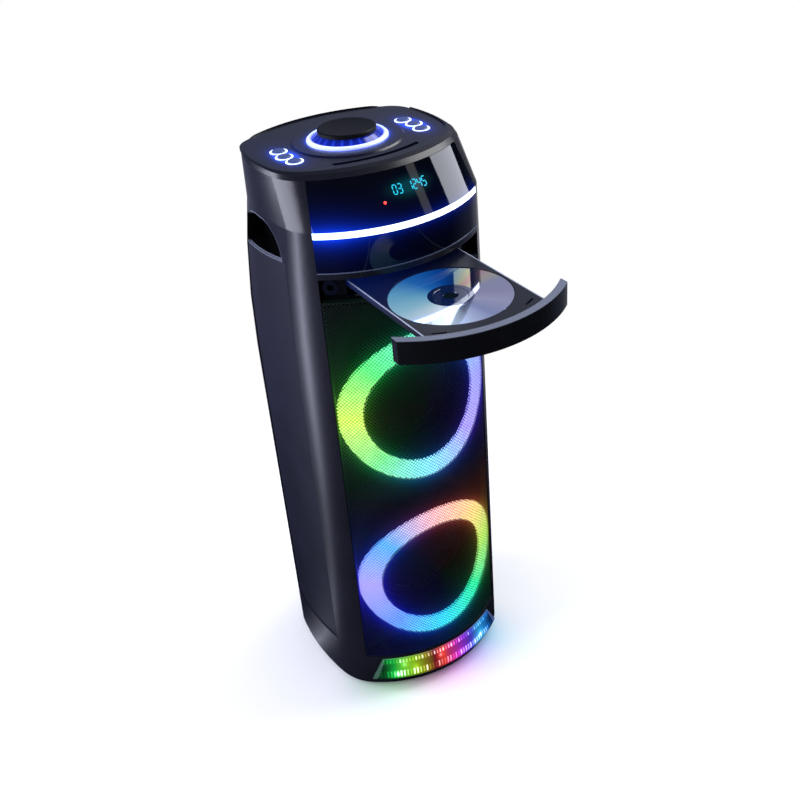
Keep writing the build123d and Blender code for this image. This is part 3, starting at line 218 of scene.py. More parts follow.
def ramp(tree, value, stops, mode="LINEAR"):
    """A colour ramp of (place, hex colour) stops."""
    made = add(tree, "ValToRGB", links={"Fac": value})
    band = made.color_ramp
    band.interpolation = mode
    while len(band.elements) < len(stops):
        band.elements.new(0.5)
    for element, (place, colour) in zip(band.elements, stops):
        element.position = place
        element.color = linear(colour)
    return made.outputs["Color"]


def span(tree, value, low, high, out_low=0.0, out_high=1.0, smooth=True):
    """Maps a value from one range to another, clamped."""
    kind = "SMOOTHSTEP" if smooth else "LINEAR"
    return add(tree, "MapRange", {"interpolation_type": kind, 1: low, 2: high, 3: out_low,
                                  4: out_high}, {"Value": value}).outputs["Result"]


def blend(tree, share, first, second):
    """A colour part of the way between two, each a hex colour or an output."""
    made = add(tree, "Mix", {"data_type": "RGBA"}, {0: share})
    for socket, colour in ((6, first), (7, second)):
        if isinstance(colour, str):
            made.inputs[socket].default_value = linear(colour)
        else:
            tree.links.new(colour, made.inputs[socket])
    return made.outputs[2]


def fading(tree, distance, *layers):
    """A glow that falls off with distance, summed over its layers (see the glows above)."""
    parts = []
    for strength, depth in layers:
        power = sums(tree, "DIVIDE", distance, -depth)
        parts.append(sums(tree, "MULTIPLY", sums(tree, "EXPONENT", power), strength))
    return sums(tree, "ADD", *parts) if len(parts) > 1 else parts[0]


def paint(tree, shader, colour):
    """Feeds a colour to the shader's base."""
    tree.links.new(colour, shader.inputs["Base Color"])


def glow(tree, shader, colour, strength):
    """Feeds a colour and a strength to the shader's emission."""
    tree.links.new(colour, shader.inputs["Emission Color"])
    tree.links.new(strength, shader.inputs["Emission Strength"])


def noise(tree, size_mm, detail):
    """Even noise whose features have a real size."""
    spot = add(tree, "TexCoord").outputs["Object"]
    return add(tree, "TexNoise", {"Scale": 1.0 / (size_mm * MM), "Detail": detail},
               {"Vector": spot}).outputs["Fac"]


def relief(tree, shader, height, height_mm, strength):
    """Feeds a height to the shader as bump of a real depth."""
    bump = add(tree, "Bump", {"Strength": strength, "Distance": height_mm * MM},
               {"Height": height})
    tree.links.new(bump.outputs["Normal"], shader.inputs["Normal"])


def grain(tree, shader, size_mm, height_mm, strength=0.5, detail=2.0):
    """Moulded grain. Real grain is 0.1 to 0.3 mm, so it is drawn coarser, as it has to show."""
    relief(tree, shader, noise(tree, size_mm, detail), height_mm, strength)


def mottled(tree, shader, first, second, size_mm):
    """Slow, slight colour drift over a surface."""
    stops = list(zip(NOISE_MIDDLE, (first, second)))
    paint(tree, shader, ramp(tree, noise(tree, size_mm, 3.0), stops))


# Materials

# Each ring's colours by angle, anticlockwise seen from the front, from its right-hand side:
# right, upper right, top, upper left, left, lower left, bottom, lower right. The first row
# is the lit ring, the second the deeper colour that it sheds on the sheet round it.
UPPER_WHEEL = (("#a2a4fa", "#86c0f6", "#66d8c0", "#5ce47c", "#c6ea62", "#78e08c", "#7fd2ec",
                "#a89cf6"),
               ("#2a20c0", "#0050c0", "#008a70", "#009838", "#4a8000", "#008a48", "#0060b0",
                "#3a20b8"))
LOWER_WHEEL = (("#b4e266", "#f2cc86", "#eeb0b4", "#58a6ee", "#a49cf4", "#6690f4", "#36c8e4",
                "#2fe09a"),
               ("#708010", "#a04a28", "#8a3048", "#003cc0", "#2412d8", "#0a20e0", "#0050c0",
                "#009858"))


def ring_light(tree):
    """Lit colour and shed colour of the nearer ring, and the distance from its band."""
    x, _, z = places(tree)
    between, overlap = sum(RING_HEIGHTS) / 2, 20 * MM
    band_middle, band_half = (RING_OUTER + RING_INNER) / 2, (RING_OUTER - RING_INNER) / 2
    upper_part = span(tree, z, between - overlap, between + overlap)
    lit, shed, off = [], [], []
    for middle, wheel in zip(RING_HEIGHTS, (UPPER_WHEEL, LOWER_WHEEL)):
        turn = whole_turn(tree, x, sums(tree, "SUBTRACT", z, middle))
        for found, row in zip((lit, shed), wheel):
            stops = [(k / len(row), c) for k, c in enumerate(row + row[:1])]
            found.append(ramp(tree, turn, stops))
        reach = reach_from(tree, (x, 0.0), (z, middle))
        off.append(past(tree, off_from(tree, reach, band_middle), band_half))
    return (blend(tree, upper_part, lit[1], lit[0]), blend(tree, upper_part, shed[1], shed[0]),
            sums(tree, "MINIMUM", *off))


def diffuser_acrylic():
    """Opal acrylic, injection moulded and lit from behind: an even, milky colour."""
    made, tree, shader = material("opal_acrylic_ring", Roughness=0.4, IOR=1.49)
    lit = ring_light(tree)[0]
    paint(tree, shader, lit)
    glow(tree, shader, lit, span(tree, noise(tree, 9.0, 2.0), *NOISE_MOST, 1.3, 1.7))
    return made


def perforated_steel():
    """Perforated steel under matt black powder coat, with a painted glow of the rings' light
    round its holes.
    """
    made, tree, shader = material("powder_coated_perforated_steel", Roughness=0.5,
                                  Specular_IOR_Level=0.2)
    mottled(tree, shader, "#0b0b10", "#0f1016", 30)
    lit, shed, off = ring_light(tree)
    # Right over a ring the sheet glows with a painted copy of the ring's light, a little dulled
    # and uneven
    ring_edge = 1.5 * MM
    over = span(tree, off, 0.0, ring_edge, 1.0, 0.0)
    dulled = sums(tree, "MULTIPLY", over,
                  span(tree, noise(tree, 5.0, 2.0), *NOISE_MOST, -0.3, -0.1))
    glow(tree, shader, blend(tree, over, shed, lit),
         sums(tree, "ADD", dulled, fading(tree, off, *RING_GLOWS)))
    return made


def satin_abs():
    """ABS under satin blue-black lacquer: near black, with long soft highlights."""
    made, tree, shader = material("satin_blue_black_lacquer", Roughness=0.27, IOR=1.5)
    grain(tree, shader, 0.9, 0.008, 0.15)
    mottled(tree, shader, "#0f1018", "#13141e", 60)
    return made


def grained_abs():
    """ABS with fine spark-eroded grain: a dull navy black with a weak sheen."""
    made, tree, shader = material("grained_navy_abs", Roughness=0.48, IOR=1.5,
                                  Specular_IOR_Level=0.24)
    grain(tree, shader, 1.1, 0.05, 0.5, 4.0)
    mottled(tree, shader, "#0c0d1a", "#111222", 45)
    return made


def strip_haze(tree, x, z):
    """How strongly the light strip shines through the panels: most at its left end."""
    above = past(tree, z, STRIP_TOP)
    below = sums(tree, "MAXIMUM", sums(tree, "SUBTRACT", STRIP_LOW, z), 0.0)
    near = fading(tree, sums(tree, "ADD", above, below), *STRIP_GLOWS)
    under = sums(tree, "MULTIPLY", sums(tree, "LESS_THAN", z, STRIP_TOP - MM),
                 fading(tree, below, UNDER_STRIP_GLOW))
    leftwards = span(tree, x, -90 * MM, 0.0, 1.0, 0.3)
    # A brighter spot at the strip's left end, twice as wide as it is high
    end_x, flatter = -78 * MM, 0.5
    end = reach_from(tree, (sums(tree, "MULTIPLY", x, flatter), end_x * flatter),
                     (z, STRIP_MIDDLE))
    return sums(tree, "ADD", sums(tree, "MULTIPLY", sums(tree, "ADD", near, under), leftwards),
                fading(tree, end, STRIP_END_GLOW))


def piano_acrylic():
    """Smoked acrylic, polished and nearly black; the light strip shines a little through it."""
    made, tree, shader = material("smoked_piano_acrylic", IOR=1.45)
    x, _, z = places(tree)
    # The display's window is a circle drawn out sideways
    flatter, window_half = 0.36, 4 * MM
    window = reach_from(tree, (sums(tree, "MULTIPLY", x, flatter), DISPLAY_X * flatter),
                        (z, DISPLAY_Z))
    haze = fading(tree, past(tree, window, window_half), WINDOW_GLOW)
    glow(tree, shader, blend(tree, span(tree, haze, 0.0, 0.02), "#0838e8", "#18b8d8"),
         sums(tree, "ADD", strip_haze(tree, x, z), haze))
    handled = span(tree, noise(tree, 50, 4.0), *NOISE_MIDDLE, 0.03, 0.06)
    tree.links.new(handled, shader.inputs["Roughness"])
    # The lower panel's foot and the upper panel's left edge get a painted highlight, a thin pale
    # line
    foot_highlight = sums(tree, "LESS_THAN", z, LOWER_PANEL_FOOT + 1.1 * MM)
    left_edge_highlight = sums(tree, "MULTIPLY", sums(tree, "LESS_THAN", x, PANEL_EDGE_X),
                    sums(tree, "GREATER_THAN", z, STRIP_TOP))
    painted_edge_line = sums(tree, "MAXIMUM", foot_highlight, left_edge_highlight)
    paint(tree, shader, blend(tree, painted_edge_line, "#030408", "#4c5468"))
    return made


def satin_black_abs():
    """Satin black ABS of the tray's front: dark, with a painted highlight along its top edge."""
    made, tree, shader = material("satin_black_abs", Roughness=0.27, IOR=1.5)
    grain(tree, shader, 0.8, 0.01, 0.3)
    height = places(tree)[2]
    dark_to, bright_from = BEZEL_TOP - 0.9 * MM, BEZEL_TOP - 0.1 * MM
    # Pale base colour along the top edge: a painted highlight
    edge = span(tree, height, dark_to, bright_from)
    paint(tree, shader, blend(tree, edge, "#08090d", "#646a7a"))
    return made


def opal_strip():
    """Opal light guide: white in the middle, cold blue towards its left end."""
    made, tree, shader = material("opal_light_guide", Base_Color=linear("#dfeaff"),
                                  Roughness=0.35)
    across, white_from = places(tree)[0], 30 * MM
    side = span(tree, across, -STRIP_HALF, white_from)
    glow(tree, shader, ramp(tree, side, [(0.0, "#a8ccff"), (0.35, "#d8e8ff"), (1.0, "#e8f0ff")]),
         span(tree, across, -STRIP_HALF, STRIP_HALF, 3.0, 1.6))
    return made


def ring_guide(name, colour, strength, node):
    """Opal acrylic light guide: cold white on top, deep blue down its sides and its inside."""
    made, tree, shader = material(name, Base_Color=linear("#dfeaff"), Roughness=0.4)
    x, y, z = places(tree)
    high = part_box(node)[1].z
    blue_to, white_from = high - 0.5 * MM, high - 0.1 * MM
    inside = sums(tree, "LESS_THAN", reach_from(tree, (x, 0.0), (y, KNOB_Y)),
                  LIGHT_RING_RADIUS - LIGHT_RING_WHITE)
    top = sums(tree, "MULTIPLY", span(tree, z, blue_to, white_from),
               sums(tree, "SUBTRACT", 1.0, inside))
    glow(tree, shader, blend(tree, top, "#1030e0", colour),
         span(tree, top, 0.0, 1.0, 0.6, strength))
    return made


def deck_abs():
    """Polished black ABS of the control deck, with a painted blue glow near its lights."""
    made, tree, shader = material("polished_deck_abs", Roughness=0.24, IOR=1.5)
    grain(tree, shader, 0.8, 0.01, 0.25)
    mottled(tree, shader, "#08090e", "#0c0d13", 30)
    x, y = places(tree)[:2]
    ring = past(tree, reach_from(tree, (x, 0.0), (y, KNOB_Y)), LIGHT_RING_RADIUS)
    lights = [fading(tree, ring, *KNOB_GLOWS)]
    # Each row of keys sheds one glow, a circle drawn out along the row
    row_inset, row_half, row_squeeze = 1.5 * MM, 10 * MM, 0.45
    along_row = sums(tree, "MULTIPLY", y, row_squeeze)
    for side in (-1, 1):
        keys = reach_from(tree, (x, side * (KEY_CIRCLE - row_inset)), (along_row, 0.0))
        lights.append(fading(tree, past(tree, keys, row_half), *KEY_GLOWS))
    strength = sums(tree, "ADD", *lights)
    glow(tree, shader, ramp(tree, strength, [(0.0, "#0a1a78"), (0.8, "#1c50ff")]), strength)
    return made


def knob_cap():
    """Turned and lacquered cap: dull black with fine rings from the lathe, drawn coarse."""
    made, tree, shader = material("turned_black_cap", Base_Color=linear("#0d0d0f"),
                                  Roughness=0.42, Specular_IOR_Level=0.12)
    x, y = places(tree)[:2]
    ring_pitch = 1.2 * MM
    reach = reach_from(tree, (x, 0.0), (y, KNOB_Y))
    rings = sums(tree, "SINE", sums(tree, "MULTIPLY", reach, 2 * math.pi / ring_pitch))
    relief(tree, shader, rings, 0.02, 0.25)
    return made


def knob_skirt():
    """Clear blue-lit skirt, brighter towards the ring, with darker bars round it."""
    made, tree, shader = material("blue_lit_skirt", Base_Color=linear("#0a1c6a"),
                                  Roughness=0.15, IOR=1.49)
    x, y, z = places(tree)
    angle = sums(tree, "ARCTAN2", sums(tree, "SUBTRACT", y, KNOB_Y), x)
    bars = sums(tree, "SINE", sums(tree, "MULTIPLY", angle, SKIRT_BARS))
    bright = sums(tree, "MULTIPLY", span(tree, bars, -0.2, 0.6, 0.5, 1.0),
                  span(tree, z, SKIRT_LOW, SKIRT_TOP, 0.75, 0.3))
    glow(tree, shader, ramp(tree, bars, [(0.3, "#0a1ee0"), (0.9, "#2a50ff")]), bright)
    return made


def key_cap():
    """Satin painted key, faintly lit by the ring round it."""
    made, tree, shader = material("satin_grey_key", Base_Color=linear("#39425c"),
                                  Roughness=0.4, Emission_Color=linear("#3f6cff"),
                                  Emission_Strength=0.16)
    grain(tree, shader, 0.6, 0.01, 0.3)
    return made


# The disc by angle, anticlockwise from its right-hand side: its painted reflection, with
# spectral streaks and the cabinet's blue and white light, and a painted glow of the light that
# its tracks scatter, blue towards the cabinet and near white at the left
DISC_PAINTED_REFLECTION = [
    (0.0, "#b9b9c4"), (0.04, "#d9c9a0"), (0.08, "#e8a898"), (0.11, "#d8d890"),
    (0.15, "#b0d8b8"), (0.2, "#a8b8e0"), (0.3, "#7f9ae0"), (0.45, "#5f86e8"),
    (0.6, "#8fb0f4"), (0.68, "#c8e8ff"), (0.72, "#f4fbff"), (0.78, "#b4bcd8"),
    (0.86, "#d8d4e0"), (0.93, "#c0b8cc"), (1.0, "#b9b9c4")]
DISC_SCATTER = [
    (0.0, "#000000"), (0.1, "#06143c"), (0.2, "#0a48a0"), (0.3, "#2470c4"), (0.4, "#6cb0d8"),
    (0.5, "#98cce4"), (0.6, "#e0f0f8"), (0.66, "#c0d4ec"), (0.72, "#303c60"),
    (0.8, "#0a0c14"), (1.0, "#000000")]


def disc_mirror():
    """Aluminised polycarbonate: a mirror behind clear plastic, with painted spectral streaks and
    painted reflections.
    """
    made, tree, shader = material("aluminised_polycarbonate", Roughness=0.05, Coat_Weight=1.0,
                                  Coat_Roughness=0.02)
    x, y = places(tree)[:2]
    turn = whole_turn(tree, x, sums(tree, "SUBTRACT", y, DISC_CENTRE_Y))
    metal = sums(tree, "GREATER_THAN", reach_from(tree, (x, 0.0), (y, DISC_CENTRE_Y)),
                 DISC_CLEAR_RADIUS)
    # The metal's colour by angle is a painted reflection
    paint(tree, shader, blend(tree, metal, "#0c1c40", ramp(tree, turn, DISC_PAINTED_REFLECTION)))
    tree.links.new(metal, shader.inputs["Metallic"])
    # A painted glow of the light that its tracks scatter
    glow(tree, shader, ramp(tree, turn, DISC_SCATTER), sums(tree, "MULTIPLY", metal, 0.8))
    return made


def tray_abs():
    """Fine satin ABS of the tray, blue-black, with a painted highlight along its long edges."""
    made, tree, shader = material("satin_blue_black_abs", Roughness=0.3, IOR=1.5)
    grain(tree, shader, 0.7, 0.01, 0.3)
    x, y, z = places(tree)
    # A pale band along the top of each long edge: a painted highlight
    inner, outer, highlight_depth = TRAY_HALF - 1.6 * MM, TRAY_HALF - 0.8 * MM, 0.4 * MM
    edge = sums(tree, "MULTIPLY", sums(tree, "GREATER_THAN", z, TRAY_TOP - highlight_depth),
                span(tree, sums(tree, "ABSOLUTE", x), inner, outer))
    paint(tree, shader, blend(tree, edge, "#0a0d16", "#98a0b4"))
    # The light strip's blue falls on the tray from the cabinet, most at the left
    front_y, back_y, left_x, right_x = -215 * MM, -125 * MM, -70 * MM, 50 * MM
    washed = sums(tree, "MULTIPLY", span(tree, y, front_y, back_y, 0.0, 0.16),
                  span(tree, x, left_x, right_x, 1.0, 0.15))
    glow(tree, shader, blend(tree, washed, "#0c2c90", "#1040c8"), washed)
    return made


# The foot lens from its left end to its right, over twice this half width
LENS_COLOURS = [(0.0, "#0f7a3c"), (0.12, "#18d048"), (0.26, "#a8e020"), (0.34, "#b0a020"),
                (0.4, "#8a1a22"), (0.48, "#ff4a3c"), (0.55, "#ff3fb8"), (0.64, "#b43cff"),
                (0.72, "#5c50ff"), (0.8, "#37b2f5"), (0.9, "#1f8cf0"), (1.0, "#1450c8")]
LENS_COLOUR_HALF = 88 * MM

# The lamps seen through the lens: distance across, height (both mm) and strength
LENS_LAMPS = ((-64, 25, 1.6), (-55, 38, 1.3), (-42, 32, 0.8), (-9, 37, 1.5), (20, 26, 0.7),
              (44, 26, 1.0), (56, 30, 1.8))
LENS_LAMP_FADE = 4 * MM


def prism_sparks(tree, x, y, z):
    """Brightness of each prism's middle, drawn by chance prism by prism, row by row."""
    # A height between the two rows, and how softly each row starts and ends
    between_rows, soft = 36 * MM, 1.5 * MM
    prism = sums(tree, "ADD", sums(tree, "MULTIPLY", bow_turn(tree, x, y),
                                   BOW_RADIUS / PRISM_PITCH), 0.5)
    cell = add(tree, "CombineXYZ", links={
        "X": sums(tree, "FLOOR", prism),
        "Y": sums(tree, "FLOOR", sums(tree, "DIVIDE", z, between_rows))}).outputs[0]
    chance = add(tree, "TexWhiteNoise", links={"Vector": cell}).outputs["Value"]
    from_middle = off_from(tree, sums(tree, "FRACT", prism), 0.5)
    # As shares of a prism: a spark is full to the first and gone at the second
    spark_full, spark_gone, weakest, by_chance = 0.1, 0.42, 0.35, 1.5
    spark = sums(tree, "MULTIPLY", span(tree, from_middle, spark_full, spark_gone, 1.0, 0.0),
                 sums(tree, "ADD", sums(tree, "MULTIPLY", chance, by_chance), weakest))
    rows = [sums(tree, "MULTIPLY", span(tree, z, low, low + soft),
                 span(tree, z, high - soft, high, 1.0, 0.0)) for low, high in LENS_ROWS]
    return sums(tree, "MULTIPLY", spark, sums(tree, "ADD", *rows))


def lens_acrylic():
    """Clear acrylic prisms with coloured lamps behind: bright facets, dark gaps."""
    made, tree, shader = material("clear_prism_acrylic", Roughness=0.08, IOR=1.49)
    x, y, z = places(tree)
    across = sums(tree, "ABSOLUTE", x)
    colour = ramp(tree, span(tree, x, -LENS_COLOUR_HALF, LENS_COLOUR_HALF, 0.0, 1.0, False),
                  LENS_COLOURS)
    lamps_seen = [fading(tree, reach_from(tree, (x, centre * MM), (z, height * MM)),
                         (power, LENS_LAMP_FADE)) for centre, height, power in LENS_LAMPS]
    # The light that stands between the sparks, and what little of it is everywhere
    steady, everywhere = 0.34, 0.04
    lit = sums(tree, "ADD", prism_sparks(tree, x, y, z), steady, *lamps_seen)
    # No lamp stands behind the lens's ends, so it darkens there
    last_lamp, unlit = 66 * MM, 80 * MM
    to_ends = span(tree, across, last_lamp, unlit, 1.0, 0.12)
    lit = sums(tree, "ADD", sums(tree, "MULTIPLY", lit, to_ends), everywhere)
    # Its slanted ends and its top edge get a painted highlight, a pale line
    end_highlight_width, rim_light = 1.4 * MM, 0.1
    half = span(tree, z, *LENS_HEIGHTS, *LENS_HALVES, False)
    rim = sums(tree, "MAXIMUM",
               sums(tree, "GREATER_THAN", across, sums(tree, "SUBTRACT", half, end_highlight_width)),
               sums(tree, "GREATER_THAN", z, LENS_HEIGHTS[1] - MM))
    rim = sums(tree, "MULTIPLY", rim, rim_light)
    white = span(tree, lit, 0.9, 3.0, 0.0, 0.7)
    paint(tree, shader, blend(tree, rim, "#0a0c12", "#c0ccdc"))
    glow(tree, shader, blend(tree, white, colour, "#f4f8ff"), sums(tree, "ADD", lit, rim))
    return made


def plain_plastic(name, colour, rough, size_mm=1.0):
    """Plain moulded plastic with a light grain."""
    made, tree, shader = material(name, Base_Color=linear(colour), Roughness=rough, IOR=1.5)
    grain(tree, shader, size_mm, 0.02, 0.35)
    return made


def plain_metal(name, colour, rough):
    """Plain metal with a fine turned or rolled surface."""
    made, tree, shader = material(name, Base_Color=linear(colour), Metallic=1.0,
                                  Roughness=rough)
    grain(tree, shader, 0.5, 0.01, 0.3)
    return made


def lit_plastic(name, base, colour, strength):
    """Small clear moulding with a lamp in it: one even, saturated colour."""
    made, tree, shader = material(name, Base_Color=linear(base), Emission_Color=linear(colour),
                                  Emission_Strength=strength)
    grain(tree, shader, 0.6, 0.01, 0.2)
    return made


def circuit_board():
    """Glass-fibre board under green solder mask, darker where no copper lies."""
    made, tree, shader = material("green_solder_mask", Roughness=0.3, IOR=1.5)
    # Real tracks lie about 1 mm apart; they are drawn coarser, so that they show
    track_pitch = 4.5 * MM
    spot = add(tree, "TexCoord").outputs["Object"]
    cells = add(tree, "TexVoronoi", {"Scale": 1 / track_pitch, "feature": "DISTANCE_TO_EDGE"},
                {"Vector": spot})
    paint(tree, shader, ramp(tree, cells.outputs["Distance"],
                             [(0.05, "#0d3a1e"), (0.1, "#145a2c")]))
    return made


def dress(name, *looks):
    """Gives a CAD node its materials; every face takes the first."""
    data = nodes[name].data
    data.materials.clear()
    for look in looks:
        data.materials.append(look)
    for polygon in data.polygons:
        polygon.material_index = 0


def dress_all():
    """A material for every node."""
    # Polished, nearly black moulding: mirrors in which little is seen
    dark_gloss = plain_plastic("polished_black_abs", "#060608", 0.16)
    looks = {
        satin_abs(): "front_shell rear_shell",
        grained_abs(): "side_panel_left side_panel_right",
        dark_gloss: "recess_liner",
        piano_acrylic(): "display_panel lower_panel",
        satin_black_abs(): "tray_bezel",
        deck_abs(): "top_deck",
        tray_abs(): "disc_tray",
        disc_mirror(): "disc",
        lens_acrylic(): "base_lens",
        perforated_steel(): "grille",
        diffuser_acrylic(): "ring_diffusers",
        opal_strip(): "light_strip",
        ring_guide("opal_ring_light", "#9cc4ff", 2.2, "knob_light_ring"): "knob_light_ring",
        ring_guide("opal_key_light", "#b8d0ff", 1.7, "key_light_rings"): "key_light_rings",
        key_cap(): "key_left_rear key_left_mid key_left_front "
                   "key_right_rear key_right_mid key_right_front",
        circuit_board(): "base_led_board ring_led_boards control_board main_board",
        # Unpainted moulding, dull black
        plain_plastic("plain_black_abs", "#0b0b0d", 0.45):
            "base_plate baffle loader_chassis clamp_bridge clamp_puck rear_socket_panel "
            "bass_port mains_inlet power_switch pickup_sled pickup_frame display_module",
        # Rubber and paper pulp: matt, with next to no highlight
        plain_plastic("moulded_rubber", "#0e0e0e", 0.8): "rubber_feet woofer_surrounds",
        plain_plastic("pressed_pulp", "#131313", 0.85, 2.0): "upper_cone lower_cone",
        # Sintered magnet: dark grey stone
        plain_plastic("fired_ferrite", "#26262a", 0.6): "woofer_magnets",
        # White, slightly waxy gear plastic
        plain_plastic("natural_acetal", "#dcdcd4", 0.35):
            "motor_pinion idler_gear drive_gear turntable",
        # Blue film drawn tight round the cells
        plain_plastic("shrink_sleeve", "#1d2a44", 0.4): "battery_pack",
        # Grey steels, the plated one cleaner and brighter, and dark plated sockets
        plain_metal("rolled_steel", "#a8a8aa", 0.35):
            "woofer_baskets sled_rails knob_shaft case_screws",
        plain_metal("zinc_plated_steel", "#b9bcc0", 0.3): "spindle_motor loader_motor encoder",
        plain_metal("black_chrome", "#4a5062", 0.12): "front_jacks",
    }
    for look, names in looks.items():
        for name in names.split():
            dress(name, look)
    dress_knob()
    dress_grips(dark_gloss)


def dress_knob():
    """The knob's cone takes the lit skirt, the rest the black cap."""
    dress("volume_knob", knob_cap(), knob_skirt())
    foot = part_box("volume_knob")[0].z
    cone_low, cone_top = 0.4 * MM, 6.8 * MM
    for polygon in nodes["volume_knob"].data.polygons:
        if cone_low < polygon.center.z - foot < cone_top:
            polygon.material_index = 1


def dress_grips(dark_gloss):
    """Each grip's bevelled rim is painted pale grey as a highlight, its pocket black."""
    rim = plain_plastic("grip_bevel_painted_highlight", "#565a68", 0.2)
    for name in ("grip_cup_left", "grip_cup_right"):
        dress(name, dark_gloss, rim)
        for polygon in nodes[name].data.polygons:
            if abs(polygon.center.x) > GRIP_RIM_X:
                polygon.material_index = 1


# Pieces

def scene_object(name, bm, look):
    """Turns a bmesh into an object with one material, linked to the scene."""
    mesh = bpy.data.meshes.new(name)
    bm.to_mesh(mesh)
    bm.free()
    mesh.materials.append(look)
    made = bpy.data.objects.new(name, mesh)
    bpy.context.scene.collection.objects.link(made)
    return made


def piece(name, bm, body, look):
    """Turns a bmesh into a finished piece that rides on a body."""
    made = scene_object(name, bm, look)
    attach(made, body)
    return made


def stood_up(bm, middle_z, turn):
    """Stands a flat grid up in the front's plane, its middle at a height."""
    stand = Matrix.Translation((0, 0, middle_z)) @ Matrix.Rotation(math.pi / 2, 4, "X") @ turn
    bmesh.ops.transform(bm, matrix=stand, verts=bm.verts)


def cut_off(bm, place, normal):
    """Cuts away all that lies beyond a plane."""
    bmesh.ops.bisect_plane(bm, geom=bm.verts[:] + bm.edges[:] + bm.faces[:], dist=1e-6,
                           plane_co=place, plane_no=normal, clear_outer=True)


def walls(bm, edges):
    """Extrudes edges into walls that start flat, and returns the walls' far corners."""
    grown = bmesh.ops.extrude_edge_only(bm, edges=edges)
    return [g for g in grown["geom"] if isinstance(g, bmesh.types.BMVert)]


def bow(bm, inset):
    """Bends a flat sheet (x along the arc, y depth behind the face) to the bowed front."""
    for vert in bm.verts:
        turn = vert.co.x / BOW_RADIUS
        radius = BOW_RADIUS - inset - vert.co.y
        vert.co.x = radius * math.sin(turn)
        vert.co.y = BOW_CENTRE_Y - radius * math.cos(turn)


def perforated_grille():
    """The front sheet with its real holes, set on the diagonal, and its folded edge."""
    hole_pitch, web, blank_border = 3.0 * MM, 0.42 * MM, 2.2 * MM
    sheet, fold, inset, clearance = 0.4 * MM, 8.0 * MM, 0.8 * MM, 0.1 * MM
    low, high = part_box("grille")
    half = BOW_RADIUS * math.asin((high.x - clearance) / BOW_RADIUS)
    bottom, top = low.z + clearance, high.z - clearance
    diagonal = (2 * half + top - bottom) / math.sqrt(2) + 4 * hole_pitch
    count = int(diagonal / hole_pitch)
    bm = bmesh.new()
    bmesh.ops.create_grid(bm, x_segments=count, y_segments=count, size=count * hole_pitch / 2)
    stood_up(bm, (top + bottom) / 2, Matrix.Rotation(math.pi / 4, 4, "Z"))
    for place, normal in (((half, 0, 0), (1, 0, 0)), ((-half, 0, 0), (-1, 0, 0)),
                          ((0, 0, top), (0, 0, 1)), ((0, 0, bottom), (0, 0, -1))):
        cut_off(bm, place, normal)
    whole = [f for f in bm.faces if f.calc_area() > 0.98 * hole_pitch ** 2
             and abs(f.calc_center_median().x) < half - blank_border
             and bottom + blank_border < f.calc_center_median().z < top - blank_border]
    rim = [e for e in bm.edges if e.is_boundary]
    bmesh.ops.inset_individual(bm, faces=whole, thickness=web, use_even_offset=True)
    holes = list({e for f in whole for e in f.edges})
    bmesh.ops.delete(bm, geom=whole, context="FACES_ONLY")
    for edges, depth in ((holes, sheet), (rim, fold)):
        far = walls(bm, [e for e in edges if e.is_valid])
        bmesh.ops.translate(bm, verts=far, vec=(0, depth, 0))
    bow(bm, inset)
    made = piece("grille_sheet", bm, "cabinet", nodes["grille"].data.materials[0])
    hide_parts("grille")


def prism_lens():
    """The foot lens with its two rows of upright prisms, in the plain wedge's place."""
    low, top = LENS_HEIGHTS
    arc_low, arc_top = (BOW_RADIUS * math.asin(half / BOW_RADIUS) for half in LENS_HALVES)
    # The face stands out most at the chin: how far it does at the foot, there and at the top
    chin = low + 7 * MM
    foot_out, chin_out, top_out = 3.6 * MM, 5.8 * MM, 0.5 * MM
    groove, depth, grid_rows = 0.9 * MM, 5.9 * MM, 30
    count = 2 * math.ceil(arc_low / PRISM_PITCH)
    bm = bmesh.new()
    bmesh.ops.create_grid(bm, x_segments=2 * count, y_segments=grid_rows, size=0.5)
    stood_up(bm, (low + top) / 2, Matrix.Diagonal((count * PRISM_PITCH, top - low, 1, 1)))
    for vert in bm.verts:
        z = vert.co.z
        if z < chin:
            out = foot_out + (chin_out - foot_out) * (z - low) / (chin - low)
        else:
            out = top_out + (chin_out - top_out) * (top - z) / (top - chin)
        column = round(vert.co.x / (PRISM_PITCH / 2))
        if column % 2 and any(a < z < b for a, b in LENS_ROWS):
            out -= groove
        vert.co.y = -out
    for side in (-1, 1):
        cut_off(bm, (side * arc_top, 0, top), (side * (top - low), 0, arc_low - arc_top))
    for vert in walls(bm, [e for e in bm.edges if e.is_boundary]):
        vert.co.y = depth
    bow(bm, 0.0)
    made = piece("foot_lens", bm, "cabinet", nodes["base_lens"].data.materials[0])
    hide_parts("base_lens")


# Which bars each figure lights, and each bar's place across and up, and whether it lies flat
SEGMENTS = {"0": "abcdef", "1": "bc", "2": "abged", "3": "abgcd", "4": "fgbc", "5": "afgcd"}
SEGMENT_PLACES = {"a": (0, 1, True), "b": (1, 0.5, False), "c": (1, -0.5, False),
                  "d": (0, -1, True), "e": (-1, -0.5, False), "f": (-1, 0.5, False),
                  "g": (0, 0, True)}


def on_panel(x, z):
    """A frame on the leaning panel: across, out of the face and up along it."""
    back = PANEL_LEAN * (z - STRIP_TOP) / PANEL_RISE
    y = BOW_CENTRE_Y + back - math.sqrt(BOW_RADIUS ** 2 - x * x)
    return (Matrix.Translation((x, y, z)) @ Matrix.Rotation(math.asin(x / BOW_RADIUS), 4, "Z")
            @ Matrix.Rotation(-math.atan2(PANEL_LEAN, PANEL_RISE), 4, "X"))


